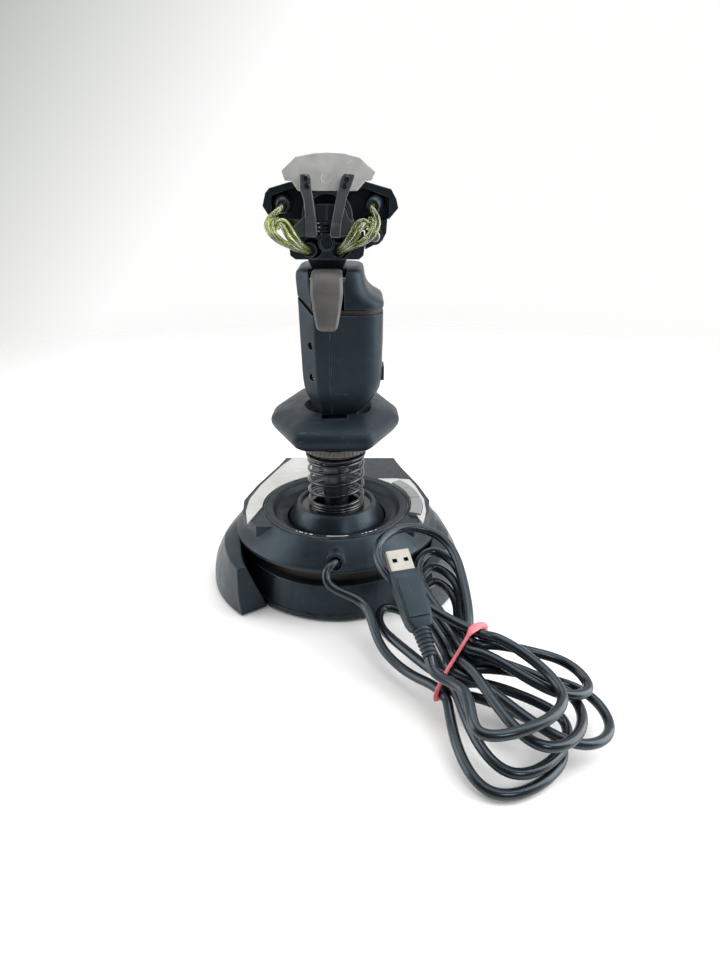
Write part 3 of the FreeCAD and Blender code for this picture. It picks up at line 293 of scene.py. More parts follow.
def spline(points, per_span=10, closed=False):
    """A smooth curve through the points."""
    data = np.array([tuple(p) for p in points], float)
    if closed:
        data = np.vstack([data[-3:], data, data[:4]])
    gaps = np.linalg.norm(np.diff(data, axis=0), axis=1) ** 0.7
    knots = np.concatenate([[0.0], np.cumsum(gaps)])
    count = len(data)
    matrix, right = np.eye(count), np.zeros((count, data.shape[1]))
    for k in range(1, count - 1):
        matrix[k, k - 1], matrix[k, k], matrix[k, k + 1] = gaps[k - 1], 2.0 * (gaps[k - 1] + gaps[k]), gaps[k]
        right[k] = 6.0 * ((data[k + 1] - data[k]) / gaps[k] - (data[k] - data[k - 1]) / gaps[k - 1])
    bend = np.linalg.solve(matrix, right)
    curve = []
    first, last = (3, count - 4) if closed else (0, count - 1)
    for k in range(first, last):
        for step in range(per_span):
            t = knots[k] + gaps[k] * step / per_span
            a, b, h = knots[k + 1] - t, t - knots[k], gaps[k]
            point = (bend[k] * a ** 3 + bend[k + 1] * b ** 3) / (6.0 * h)
            point = point + (data[k] / h - bend[k] * h / 6.0) * a
            point = point + (data[k + 1] / h - bend[k + 1] * h / 6.0) * b
            curve.append(Vector(point))
    if not closed:
        curve.append(Vector(data[-1]))
    return curve


def sweep(path, section, closed=False, twist=0.0):
    """An outline carried along a path; section(share) gives its (across, up) points."""
    count = len(path)
    tangents = []
    for k in range(count):
        ahead = path[(k + 1) % count] if closed else path[min(k + 1, count - 1)]
        behind = path[k - 1] if closed or k else path[0]
        tangents.append((ahead - behind).normalized())
    side = tangents[0].orthogonal().normalized()
    sides = []
    for tangent in tangents:
        side = (side - tangent * side.dot(tangent)).normalized()
        sides.append(side.copy())
    if closed:
        drift = sides[-1].angle(sides[0])
        sign = 1.0 if tangents[0].dot(sides[-1].cross(sides[0])) > 0 else -1.0
        twist = twist + sign * drift
    rings = []
    for k, tangent in enumerate(tangents):
        turned = Matrix.Rotation(twist * k / count, 3, tangent) @ sides[k]
        up = tangent.cross(turned)
        rings.append([path[k] + turned * a + up * b for a, b in section(k / count)])
    return skin(rings, closed)


def disc(radius, steps=12):
    turns = [math.tau * k / steps for k in range(steps)]
    return [(radius * math.cos(turn), radius * math.sin(turn)) for turn in turns]


def cord(points, radius, per_span=10, sides=12):
    return sweep(spline(points, per_span), lambda share: disc(radius, sides))


def spindle(start, end, profile, sides=28):
    """A turned solid between two points from (share of the length, radius) pairs."""
    axis = end - start
    across = axis.orthogonal().normalized()
    up = axis.normalized().cross(across)
    rings = []
    for share, radius in profile:
        middle = start + axis * share
        rings.append([middle + across * a + up * b for a, b in disc(max(radius, 0.01), sides)])
    return skin(rings)


def merged(shapes):
    """Several editable meshes as one."""
    whole = shapes[0]
    for shape in shapes[1:]:
        mesh = bpy.data.meshes.new("part")
        shape.to_mesh(mesh)
        shape.free()
        whole.from_mesh(mesh)
        bpy.data.meshes.remove(mesh)
    return whole


def add(name, made, material, body, bevel=0.0, replaces=(), smooth=40.0, segments=2):
    """Turns an editable mesh into a piece that rides on a body."""
    for face in made.faces:
        face.smooth = True
    limit = math.radians(smooth)
    for edge in made.edges:
        if len(edge.link_faces) == 2 and edge.calc_face_angle(0.0) > limit:
            edge.smooth = False
    mesh = bpy.data.meshes.new(name)
    made.to_mesh(mesh)
    made.free()
    piece = bpy.data.objects.new(name, mesh)
    scene.collection.objects.link(piece)
    mesh.materials.append(MATERIALS[material])
    if bevel:
        soften(piece, bevel, segments)
    if body:
        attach(piece, body)
    if replaces:
        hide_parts(*replaces)
    return piece


SHARP_FROM = math.radians(35.0)


def soften(piece, width, segments=2):
    """Rounds the piece's sharp edges."""
    rounding = piece.modifiers.new("edge_rounding", "BEVEL")
    rounding.width = width * MM
    rounding.segments = segments
    rounding.limit_method = "ANGLE"
    rounding.angle_limit = SHARP_FROM
    rounding.harden_normals = True


def carve(made, *tools, operation="DIFFERENCE"):
    """Cuts tools away from an editable mesh."""
    def holder(mesh_in):
        mesh = bpy.data.meshes.new("carving")
        mesh_in.to_mesh(mesh)
        mesh_in.free()
        made_object = bpy.data.objects.new("carving", mesh)
        scene.collection.objects.link(made_object)
        return made_object
    work = holder(made)
    cutters = [holder(tool) for tool in tools]
    for cutter in cutters:
        step = work.modifiers.new("cut", "BOOLEAN")
        step.object = cutter
        step.operation = operation
        step.solver = "EXACT"
    graph = bpy.context.evaluated_depsgraph_get()
    result = bmesh.new()
    result.from_mesh(work.evaluated_get(graph).to_mesh())
    for item in [work] + cutters:
        bpy.data.objects.remove(item)
    bmesh.ops.remove_doubles(result, verts=result.verts, dist=1e-6)
    bmesh.ops.dissolve_degenerate(result, edges=result.edges, dist=1e-6)
    return result


def between(levels, height):
    """Values of a table of (height, value, ...) rows at a height, smoothly joined."""
    heights = [row[0] for row in levels]
    k = max(i for i, low in enumerate(heights[:-1]) if low <= height + 1e-9)
    rows = [levels[max(k - 1, 0)], levels[k], levels[k + 1], levels[min(k + 2, len(levels) - 1)]]
    t = (height - rows[1][0]) / (rows[2][0] - rows[1][0])
    values = []
    for a, b, c, d in zip(*[row[1:] for row in rows]):
        span = rows[2][0] - rows[1][0]
        start = (c - a) / max(rows[2][0] - rows[0][0], 1e-6) * span
        end = (d - b) / max(rows[3][0] - rows[1][0], 1e-6) * span
        values.append(b * (2 * t ** 3 - 3 * t ** 2 + 1) + start * (t ** 3 - 2 * t ** 2 + t)
                      + c * (3 * t ** 2 - 2 * t ** 3) + end * (t ** 3 - t ** 2))
    return values


for piece in nodes.values():
    slot_name = piece.data.materials[0].name.split(".")[0]
    piece.data.materials[0] = MATERIALS[slot_name]


# ---------------------------------------------------------------- CAD pieces that stay

EDGE_ROUNDING = {
    0.9: ("lower_head", "head_shell", "side_pod"),
    0.5: ("top_shell", "lower_shell", "face_plate", "head_neck", "throttle_lever_left",
          "throttle_lever_right", "spring_cap", "release_button"),
    0.3: ("deck_plate", "crest_plate", "lock_dial", "hub_ring", "hat_cap",
          "thumb_button_left", "thumb_button_right", "base_button_1", "base_button_2", "base_button_3",
          "rubber_feet", "base_plate", "gimbal_ring", "gimbal_cradle"),
}
for width, names in EDGE_ROUNDING.items():
    for name in names:
        weld = nodes[name].modifiers.new("join_edges", "WELD")
        weld.merge_threshold = 2e-6
        soften(nodes[name], width)


# ---------------------------------------------------------------- grip

GRIP_LEVELS = (
    (112.0, -13.0, 11.4, -15.0, 11.0), (117.0, -19.0, 12.6, -23.0, 12.5), (127.0, -25.6, 16.6, -31.0, 15.5),
    (146.0, -26.8, 17.6, -34.0, 17.5), (168.5, -27.0, 18.1, -35.0, 18.6), (180.0, -27.0, 18.4, -35.0, 18.9),
)
SADDLE_LEVELS = (
    (166.0, -27.0, 18.1, -35.0, 18.6), (171.5, -27.1, 18.1, -35.0, 18.7), (173.4, -27.2, 18.1, -35.0, 18.7),
    (175.4, -25.8, 18.2, -34.5, 18.7), (177.4, -22.2, 18.3, -33.8, 18.7), (180.0, -19.2, 18.4, -33.0, 18.8),
    (184.0, -17.3, 18.7, -32.0, 18.6), (188.5, -16.6, 18.8, -31.0, 18.2), (190.3, -15.8, 18.2, -30.2, 17.3),
    (191.0, -14.2, 16.8, -29.0, 15.9),
)
SEAM_X = 1.3
GRIP_SCREW_HEIGHTS = (134.3, 152.1)
GRIP_SCREW_OUT = vec(0.727, 0.686, 0.0)


def grip_ring(levels, height, inset=0.0):
    """Level outline: a flat chamfer at the front right, a full round at the front left."""
    west, east, back, front = between(levels, height)
    west, east, back, front = west + inset, east - inset, back + inset, front - inset
    share = min(1.0, (east - west) / 44.0)
    corners = (
        (east, front - 9.0 * share, 2.5), (east - 8.5 * share, front, 2.5), (west, front, 13.0 * share),
        (west, back, 12.0 * share), (east, back, 12.0 * share),
    )
    return [(p.x, p.y, height) for p in rounded(corners, 9)]


def upright_cut(outline):
    """A cutter from (x, z) points, right through the grip."""
    return prism(outline, "y", -60.0, 60.0)


def screw_seat(height):
    """Middle of one screw pit's mouth on the grip's flat chamfer, which leans forward as it rises."""
    return vec(12.8, 14.2 + 0.09 * (height - GRIP_SCREW_HEIGHTS[0]), height)


def lower_grip():
    heights = (112.0, 113.0, 114.5, 117.0, 120.0, 123.5, 127.0, 132.0, 138.0, 146.0, 154.0, 162.0, 168.5,
               174.0, 179.5)
    body = skin([grip_ring(GRIP_LEVELS, h) for h in heights])
    over = upright_cut(((-60, 168.5), (10.4, 168.5), (18.6, 176.6), (60, 176.6), (60, 200), (-60, 200)))
    hollow = prism([p * 0.8 for p in map(Vector, disc(12.0, 32))], "z", 100.0, 125.0)
    latch = prism(plate(-6.4, 6.4, 130.1, 138.9, 1.5), "x", -32.0, -23.5)
    pits = []
    for height in GRIP_SCREW_HEIGHTS:
        seat = screw_seat(height)
        path = [seat - GRIP_SCREW_OUT * 4.0, seat, seat + GRIP_SCREW_OUT * 8.0]
        pits.append(sweep(path, lambda share: disc(2.0, 20)))
    pocket = skin([grip_ring(GRIP_LEVELS, h, 2.6) for h in (128.0, 134.0, 146.0, 160.0, 168.5, 179.9)])
    return carve(body, over, hollow, latch, pocket, *pits)


def grip_lip():
    """Dark inner lip that closes the gap under the saddle."""
    heights = (160.0, 168.5, 174.0, 179.5)
    band = skin([grip_ring(GRIP_LEVELS, h, 1.1) for h in heights])
    inside = skin([grip_ring(GRIP_LEVELS, h, 2.7) for h in (155.0, 168.5, 174.0, 179.9)])
    over = upright_cut(((-60, 171.1), (9.5, 171.1), (18.5, 177.5), (60, 177.5), (60, 200), (-60, 200)))
    return carve(band, inside, over)


def half_of(made, keep_east):
    """One half of the grip, cut just beside its seam."""
    edge = (SEAM_X + (0.14 if keep_east else -0.14)) * MM
    geometry = made.verts[:] + made.edges[:] + made.faces[:]
    bmesh.ops.bisect_plane(made, geom=geometry, plane_co=(edge, 0, 0),
                           plane_no=(-1 if keep_east else 1, 0, 0),
                           clear_outer=True)
    rim = [edge for edge in made.edges if edge.is_boundary]
    bmesh.ops.holes_fill(made, edges=rim)
    bmesh.ops.recalc_face_normals(made, faces=made.faces)
    return made


def build_grip():
    whole = lower_grip()
    add("grip_right_skin", half_of(whole.copy(), True), "grip_rubber", "grip", 0.3, ("grip_right",))
    add("grip_left_skin", half_of(whole, False), "grip_rubber", "grip", 0.3, ("grip_left",))
    add("grip_lip", grip_lip(), "dark_inside", "grip")
    heads = []
    out = GRIP_SCREW_OUT
    for height in GRIP_SCREW_HEIGHTS:
        middle = screw_seat(height) - out * 3.9
        head = spindle(middle, middle + out * 1.5, ((0.0, 1.7), (0.8, 1.7), (1.0, 1.4)), 20)
        slit = sweep([middle + out * 0.7, middle + out * 2.0],
                     lambda share: [(-1.2, -0.25), (1.2, -0.25), (1.2, 0.25), (-1.2, 0.25)])
        heads.append(carve(head, slit))
    add("grip_screw_heads", merged(heads), "spring_steel", "grip", 0, ("grip_screws",))


def build_saddle():
    heights = (166.0, 168.5, 171.5, 172.4, 173.4, 174.4, 175.4, 176.4, 177.4, 178.6, 180.0, 182.0, 184.0,
               186.5, 188.5, 189.6, 190.3, 191.0)
    body = skin([grip_ring(SADDLE_LEVELS, h) for h in heights])
    under = upright_cut(((-60, 171.6), (9.6, 171.6), (18.8, 178.0), (60, 178.0), (60, 150), (-60, 150)))
    slot = prism(((-6.4, 150.0), (10.8, 150.0), (10.8, 184.5), (13.4, 196.0), (-9.2, 196.0), (-6.4, 184.5)),
                 "y", 8.0, 60.0)
    groove = sweep(spline((vec(-9.6, 19.6, 190.0), vec(-8.4, 19.6, 186.0), vec(-7.0, 19.6, 180.0))),
                   lambda share: disc(0.55, 8))
    add("thumb_saddle_skin", carve(body, under, slot.copy(), groove), "grip_rubber", "head", 0.6,
        ("thumb_saddle",))
    core = skin([grip_ring(SADDLE_LEVELS, h, 3.2) for h in (166.0, 171.5, 175.4, 177.4, 180.0)])
    for vert in core.verts:
        if vert.co.z < 167.0 * MM:
            vert.co.z = 148.0 * MM
    add("saddle_sleeve", carve(core, slot), "dark_inside", "head", 0.3)


def build_trigger():
    # height, half width, middle x, front y, back y
    levels = (
        (191.4, 6.4, 2.3, 19.6, 13.0), (190.4, 7.6, 2.3, 22.0, 11.6), (188.0, 8.1, 2.3, 24.8, 11.2),
        (184.5, 8.2, 2.25, 26.8, 11.2), (181.2, 8.15, 2.2, 28.0, 14.5), (180.2, 8.1, 2.2, 28.0, 17.6),
        (177.0, 7.7, 2.2, 27.5, 21.0), (172.5, 7.1, 2.3, 27.3, 22.4), (168.5, 6.4, 2.3, 27.6, 23.4),
        (165.5, 5.8, 2.3, 28.0, 24.3), (163.6, 5.2, 2.3, 28.0, 24.9), (162.5, 4.0, 2.3, 27.4, 25.3),
    )
    rings = []
    for height, half, middle, front, back in levels:
        corners = ((middle + half, front - 1.3, 1.0), (middle + half * 0.80, front - 0.1, 1.5),
                   (middle, front + 0.05, 9.0), (middle - half * 0.80, front - 0.1, 1.5),
                   (middle - half, front - 1.3, 1.0), (middle - half, back, 1.0), (middle + half, back, 1.0))
        rings.append([(p.x, p.y, height) for p in rounded(corners, 4)])
    add("trigger_blade", skin(rings), "warm_grey", "trigger", 0.35, ("trigger",), smooth=32)


def rest_ring(height, wide, front, back, corner):
    """Level outline of the hand rest: eight soft corners, the side corners far apart."""
    soft = min(7.0, wide * 0.2)
    outline = (
        (corner, front, soft), (wide, 1.0, soft * 1.4), (wide * 0.99, -15.0, soft * 1.5),
        (corner * 1.1, back, soft * 1.5), (-corner * 1.1, back, soft * 1.5),
        (-wide * 0.99, -15.0, soft * 1.5), (-wide, 1.0, soft * 1.4), (-corner, front, soft),
    )
    return [(p.x, p.y, height) for p in rounded(outline, 6)]


def build_rest():
    # height, half width, front, back, corner across
    levels = (
        (93.2, 20.0, 18.0, -22.0, 9.0), (94.2, 23.5, 21.5, -28.0, 12.0), (97.4, 31.5, 29.4, -42.0, 18.0),
        (100.0, 34.6, 32.0, -47.0, 20.0), (103.0, 36.8, 32.4, -50.6, 21.2), (106.2, 37.4, 31.4, -51.6, 21.4),
        (108.6, 36.0, 28.8, -50.8, 20.6), (111.2, 31.6, 23.8, -47.8, 18.4), (113.0, 26.0, 18.4, -43.0, 15.4),
        (113.8, 21.5, 15.0, -38.0, 12.4),
    )
    heights = [93.2, 93.7, 94.2, 95.8, 97.4, 98.8, 100.0, 101.4, 103.0, 104.6, 106.2, 107.4, 108.6, 109.9,
               111.2, 112.2, 113.0, 113.8]
    body = skin([rest_ring(h, *between(levels, min(h, 113.79))) for h in heights])
    well_levels = ((106.6, 12.6), (109.0, 13.8), (112.0, 16.2), (115.0, 19.0))
    well = skin([[(x, y - 3.0, h) for x, y in disc(r, 40)] for h, r in well_levels])
    room = skin([grip_ring(GRIP_LEVELS, h, -0.9) for h in (112.0, 117.0, 127.0)])
    for vert in room.verts:
        vert.co.z -= 4.6 * MM
    bore = skin([[(x, y, h) for x, y in disc(9.56, 48)] for h in (80.0, 130.0)])
    notch = prism(plate(-7.4, 6.8, 105.6, 120.0, 1.0), "y", 2.0, 19.5)
    sleeve = lathe(((9.56, 86.9), (13.0, 86.9), (13.0, 98.0), (9.56, 98.0)), (0, 0, 0), steps=64)
    add("hand_rest_skin", carve(body, well, room, bore, notch), "grip_rubber", "hand_rest", 0.8,
        ("hand_rest",), 30.0, 3)
    add("hand_rest_thread", sleeve, "black_shaft", "hand_rest", 0.2)


# ---------------------------------------------------------------- head

BUNDLE_RADIUS = 1.45
# one side's strands, for the boss on the -X side
STRANDS = (
    ((-22.0, 8.5, 222.4), (-20.8, 11.8, 221.3), (-20.2, 14.8, 220.4), (-22.2, 18.5, 217.6),
     (-23.2, 20.5, 213.2), (-21.2, 22.5, 208.9), (-16.6, 23.2, 205.3), (-10.4, 21.8, 202.6),
     (-5.2, 17.0, 200.8), (-3.0, 11.0, 200.2)),
    ((-20.5, 16.0, 210.0), (-19.2, 18.6, 212.9), (-16.0, 20.6, 214.6), (-12.8, 21.8, 212.9),
     (-10.4, 23.0, 209.0), (-7.9, 22.6, 205.4), (-5.0, 19.0, 202.2), (-3.4, 11.0, 201.0)),
    ((-18.6, 16.6, 211.4), (-17.4, 19.6, 213.2), (-15.2, 22.6, 212.2), (-13.2, 24.3, 208.8),
     (-10.4, 24.3, 205.2), (-6.4, 20.6, 201.9), (-3.6, 11.0, 200.5)),
    ((-19.6, 14.6, 215.0), (-20.9, 18.0, 214.4), (-20.4, 21.2, 210.9), (-17.6, 24.0, 207.2),
     (-13.2, 24.9, 204.2), (-8.8, 22.6, 202.0), (-4.8, 17.0, 200.0), (-3.0, 11.0, 199.7)),
)
MIDDLE_X = 3.9


def other_side(point):
    """The matching point for the boss on the +X side."""
    x, y, z = point
    return vec(2.0 * MIDDLE_X - x - 4.2 * max(0.0, min(1.0, (z - 213.0) / 8.0)), y, z)


def build_tubes():
    """Four clear strands a side: one runs from the boss, all twist together into the lower socket."""
    lines = []
    for points in STRANDS:
        lines.append([vec(*point) for point in points])
        lines.append([other_side(point) for point in points])
    add("glow_tube_set", merged([cord(line, BUNDLE_RADIUS, 10, 16) for line in lines]), "glow_clear", "head",
        replaces=("glow_tubes",))
    profile = ((0.0, 4.6), (0.25, 4.5), (0.6, 4.1), (0.92, 3.7), (1.0, 3.2), (1.0, 1.8), (0.8, 1.7))
    bosses = [spindle(vec(x, 1.9, 223.6), vec(x + lean, 12.0, 221.0), profile)
              for x, lean in ((24.9, -1.4), (-23.0, 2.2))]
    add("tube_holders", merged(bosses), "satin_black", "head", 0.3, ("tube_bosses",))
    sockets = []
    for x in (2.0 * MIDDLE_X + 3.2, -3.2):
        profile = ((0.0, 4.4), (0.7, 4.3), (1.0, 3.8), (1.0, 3.0), (0.5, 2.8))
        sockets.append(spindle(vec(x, 11.0, 200.4), vec(x, 15.2, 200.6), profile, 24))
    add("tube_sockets", merged(sockets), "charcoal", "head", 0.2)


ARM_BARS = (
    ((14.4, 235.5), (9.9, 235.6), (9.0, 233.7), (8.9, 229.3), (8.1, 224.0), (7.1, 215.9), (6.6, 208.4),
     (7.6, 206.9), (12.4, 207.0), (12.4, 214.0), (12.5, 218.2), (12.9, 224.0), (14.7, 229.3)),
    ((-6.8, 235.7), (-12.1, 235.3), (-10.4, 230.2), (-8.2, 225.4), (-6.9, 220.0), (-5.3, 213.0),
     (-4.6, 206.7), (-0.2, 206.9), (0.3, 208.4), (-0.8, 215.0), (-2.3, 221.8), (-3.9, 228.5), (-5.4, 233.7)),
)
ARM_FEET = (
    ((11.8, 219.0), (12.8, 216.6), (16.5, 213.4), (20.1, 210.6), (19.2, 207.3), (9.0, 207.1)),
    ((-5.6, 221.6), (-7.6, 219.6), (-8.8, 215.6), (-12.8, 212.2), (-10.6, 207.6), (-2.4, 207.1),
     (-3.4, 212.0)),
)
ARM_SCREWS = ((11.4, 233.7), (10.9, 230.2), (-8.4, 233.4), (-7.2, 230.2))
CREST_NORMAL = vec(0.0, 0.970, 0.242)


def build_arms():
    for side, bar, foot in zip(("right", "left"), ARM_BARS, ARM_FEET):
        strip = prism(rounded([(x, z, 0.7) for x, z in bar], 4), "y", 15.8, 18.5)
        flare = prism(rounded([(x, z, 1.0) for x, z in foot], 4), "y", 14.4, 17.0)
        for vert in flare.verts:
            if vert.co.y > 15.0 * MM:
                vert.co.y += (214.0 * MM - vert.co.z) * 0.12
        add(f"bracket_strip_{side}", strip, "arm_grey", "head", 0.45, ("bracket_arms",))
        add(f"bracket_foot_{side}", flare, "arm_grey", "head", 0.45, ("bracket_arms",))
    heads = []
    for x, z in ARM_SCREWS:
        head = spindle(vec(x, 18.3, z), vec(x, 19.3, z), ((0.0, 1.5), (0.5, 1.5), (1.0, 1.1)), 20)
        cross = [prism([(x - w, z - h), (x + w, z - h), (x + w, z + h), (x - w, z + h)], "y", 18.8, 20.0)
                 for w, h in ((0.8, 0.2), (0.2, 0.8))]
        heads.append(carve(head, *cross))
    add("bracket_screw_heads", merged(heads), "spring_steel", "head", 0, ("bracket_screws",))
    middle = vec(1.9, 14.0, 233.7) - CREST_NORMAL * 0.05
    badge = spindle(middle, middle + CREST_NORMAL * 0.2,
                    ((0.0, 3.0), (0.9, 3.0), (1.0, 2.8), (1.0, 2.45), (0.4, 2.35)), 40)
    add("crest_ring_mark", badge, "silver_sheet", "head")
    wheel = vec(-21.9, 5.2, 206.6)
    toothed = [Vector(p) * (1.0 + 0.03 * (k % 2)) for k, p in enumerate(disc(4.2, 48))]
    knurl = sweep([wheel + vec(0, 0.35 * k, 0) for k in range(7)], lambda share: toothed)
    add("trim_wheel_rim", knurl, "charcoal", "trim_wheel", 0.15, ("trim_wheel",))
    cap = spindle(wheel + vec(0, 2.0, 0), wheel + vec(0, 3.1, 0),
                  ((0.0, 2.9), (0.7, 2.8), (1.0, 2.3), (0.95, 1.9), (0.6, 1.7)), 32)
    add("trim_wheel_cap", cap, "nickel", "trim_wheel")


def build_core():
    """Stack between the arms: a box with a seam, black rings and a dark barrel."""
    box = prism(plate(-3.6, 7.6, 214.2, 222.0, 0.8), "y", 2.6, 13.4)
    seam = prism(((1.85, 213.0), (2.15, 213.0), (2.15, 223.0), (1.85, 223.0)), "y", 12.8, 15.0)
    add("core_box", carve(box, seam), "charcoal", "head", 0.3)
    for k, (height, radius) in enumerate(((212.6, 5.0), (210.6, 4.4), (208.8, 4.8))):
        ring = lathe(((0.01, 0.0), (radius, 0.0), (radius, 1.2), (0.01, 1.2)), (2.7, 9.5, height), steps=40)
        add(f"core_ring_{k + 1}", ring, "black_shaft", "head", 0.25)
    barrel = lathe(((0.01, 0.0), (3.4, 0.0), (4.3, 0.8), (4.3, 3.0), (2.9, 3.2), (2.6, 1.4), (0.01, 1.2)),
                   (2.2, 13.6, 204.2), "y", 40)
    add("core_barrel", barrel, "satin_black", "head", 0.15)


# ---------------------------------------------------------------- base

# from the front: inner foot, outer foot, middle of the side, ridge, inner top edge
FENDER_STATIONS = (
    ((40.5, 37.0, 0.8), (54.4, 46.9, 0.8), (55.4, 46.4, 15.0), (55.4, 45.0, 30.4), (50.5, 43.0, 31.8)),
    ((46.0, 30.5, 0.8), (63.0, 37.5, 0.8), (63.4, 37.0, 15.0), (60.9, 36.0, 31.9), (54.2, 33.0, 32.8)),
    ((52.5, 20.5, 0.8), (71.2, 24.6, 0.8), (70.4, 24.4, 15.5), (65.5, 24.0, 31.8), (56.6, 21.5, 34.0)),
    ((57.2, 8.0, 0.8), (76.6, 11.0, 0.8), (74.8, 11.4, 16.0), (68.4, 12.0, 31.8), (58.8, 10.0, 35.4)),
    ((58.6, -5.0, 0.8), (79.2, -3.0, 0.8), (76.6, -2.0, 16.0), (69.4, 0.0, 31.6), (60.4, -2.0, 36.6)),
    ((57.6, -16.0, 0.8), (79.2, -14.5, 0.8), (75.8, -13.0, 16.0), (68.2, -11.0, 31.2), (59.4, -13.0, 37.6)),
    ((54.0, -27.0, 0.8), (76.4, -28.0, 0.8), (72.6, -27.0, 15.5), (65.6, -25.5, 30.6), (56.2, -26.0, 38.0)),
    ((50.4, -38.0, 0.8), (71.0, -39.0, 0.8), (67.6, -38.0, 15.0), (61.6, -37.0, 30.0), (52.2, -37.5, 38.0)),
    ((47.4, -47.0, 0.8), (62.4, -49.5, 0.8), (60.2, -48.5, 14.5), (56.0, -47.5, 29.4), (48.8, -47.0, 37.6)),
    ((45.4, -53.0, 0.8), (53.6, -56.0, 0.8), (52.4, -55.0, 14.0), (50.6, -54.0, 28.6), (46.6, -53.5, 36.4)),
)


def build_fender(side):
    """Side fender: a full curved flank, a soft ridge and a sloping top, ending in a flat front face."""
    rails = [spline([vec(x * side, y, z) for x, y, z in rail], 5) for rail in zip(*FENDER_STATIONS)]
    rings = []
    for inner, foot, middle, ridge, top in zip(*rails):
        flank = spline((foot, middle, ridge), 5)
        crown = [ridge.lerp(top, 0.35) + vec(0, 0, 0.5), ridge.lerp(top, 0.7) + vec(0, 0, 0.4)]
        rings.append([inner] + flank + crown + [top])
    name = "fender_right" if side > 0 else "fender_left"
    add(name + "_skin", skin(rings), "satin_black", "base", 0.9, (name,), 26.0, 3)


# first and last angle in degrees from +X
RIM_MARKS = (
    (84.0, 101.0), (112.0, 113.2), (115.0, 116.6), (118.5, 121.5), (124.0, 125.4), (58.0, 59.2), (61.0, 64.0),
    (66.4, 67.6), (70.0, 72.8),
)
MARK_RADIUS = 41.3
MARK_HALF_WIDTH = 0.35
MARK_HEIGHT = 50.86
MARK_THICK = 0.1
MARK_STEPS = 12
RIM_SLOPE = 0.14


def rim_mark(start, end):
    """A thin raised dash that follows the dish's sloping rim."""
    rise = RIM_SLOPE * MARK_HALF_WIDTH
    section = (
        (-MARK_HALF_WIDTH, -rise), (MARK_HALF_WIDTH, rise), (MARK_HALF_WIDTH, rise + MARK_THICK),
        (-MARK_HALF_WIDTH, MARK_THICK - rise),
    )
    rings = []
    for k in range(MARK_STEPS + 1):
        turn = math.radians(start + (end - start) * k / MARK_STEPS)
        c, s = math.cos(turn), math.sin(turn)
        rings.append([((MARK_RADIUS + out) * c, (MARK_RADIUS + out) * s, MARK_HEIGHT + up)
                      for out, up in section])
    return skin(rings)


def build_dish():
    """Round dish with a flat printed rim, a soft inner step and a shallow floor."""
    profile = (
        (43.38, 50.2), (43.38, 50.75), (43.1, 51.0), (42.3, 51.05), (40.0, 50.7), (39.3, 50.4),
        (38.6, 49.6), (37.4, 46.8), (36.6, 46.1), (34.6, 45.2), (34.2, 45.3), (33.8, 45.0), (30.4, 44.0),
        (30.1, 43.6), (30.1, 42.4), (36.4, 42.6), (43.38, 48.4),
    )
    add("dish_skin", lathe(profile, (0, 0, 0), steps=128), "charcoal", "base", 0, ("dish",), 50.0)
    for k, (start, end) in enumerate(RIM_MARKS):
        add(f"dial_mark_{k + 1}", rim_mark(start, end), "mark_white", "base")
    for k in range(10):
        turn = math.radians(18.0 + 36.0 * k)
        c, s = math.cos(turn), math.sin(turn)
        across, up = vec(-s, c, 0.0) * 0.22, vec(0, 0, 0.16)
        rings = []
        for radius, height in ((31.2, 44.28), (33.9, 45.1)):
            middle = vec(radius * c, radius * s, height)
            rings.append([middle - across - up, middle + across - up, middle + across + up,
                          middle - across + up])
        add(f"dish_rib_{k + 1}", skin(rings), "charcoal", "base")
    rim = lathe(((43.5, 50.6), (44.1, 50.6), (44.1, 51.1), (43.5, 51.15)), (0, 0, 0), steps=128)
    add("dish_line", rim, "satin_black", "base")


# ---------------------------------------------------------------- rear casing details

RIDGE_LEVELS = (11.0, 14.5, 18.0, 21.5, 25.0)
REAR_WALL = ((-45.0, -51.0), (-42.0, -62.0), (-36.0, -86.0), (36.0, -86.0), (42.0, -62.0), (45.0, -51.0))


def wall_strip(points, low, high, proud):
    """A raised strip on upright walls, mitred at the corners; the walls face right of its direction."""
    places = [vec(x, y, 0.0) for x, y in points]
    rings = []
    for k, place in enumerate(places):
        before = (place - places[max(k - 1, 0)]).normalized() if k else vec(0, 0, 0)
        after = (places[k + 1] - place).normalized() if k + 1 < len(places) else vec(0, 0, 0)
        along = (before + after).normalized()
        out = vec(along.y, -along.x, 0.0)
        wall = after if after.length else before
        stretch = 1.0 / max(out.dot(vec(wall.y, -wall.x, 0.0)), 0.5)
        inside, crown = place - out * 0.4, place + out * proud * stretch
        rings.append([inside + vec(0, 0, low), crown + vec(0, 0, low + 0.25),
                      crown + vec(0, 0, high - 0.25), inside + vec(0, 0, high)])
    return skin(rings)


def ridged_patch(name, start, end):
    ridges = [wall_strip((start, end), low, low + 1.4, 0.6) for low in RIDGE_LEVELS]
    add(name, merged(ridges), "satin_black", "base", 0.15)


def build_rear():
    """Lips round the low rear box and ridges on its back and on both sides."""
    add("parting_lip", wall_strip(REAR_WALL, 34.9, 36.0, 0.7), "satin_black", "base", 0.15)
    add("floor_lip", wall_strip(REAR_WALL, 1.6, 4.4, 0.8), "charcoal", "base", 0.2)
    ridged_patch("rear_ridges", (-23.0, -86.0), (23.0, -86.0))
    ridged_patch("side_ridges_left", (-41.0, -66.0), (-37.2, -81.0))
    ridged_patch("side_ridges_right", (37.2, -81.0), (41.0, -66.0))


# ---------------------------------------------------------------- spring

# turn, height
COIL_RISE = (
    (0.0, 52.5), (1.0, 54.2), (2.0, 56.0), (3.0, 62.5), (4.0, 69.5), (5.0, 76.2), (6.0, 81.6), (7.0, 83.4),
)
COIL_RADIUS = 16.25
COIL_STEPS = 48
HALF_WAY = 3.5


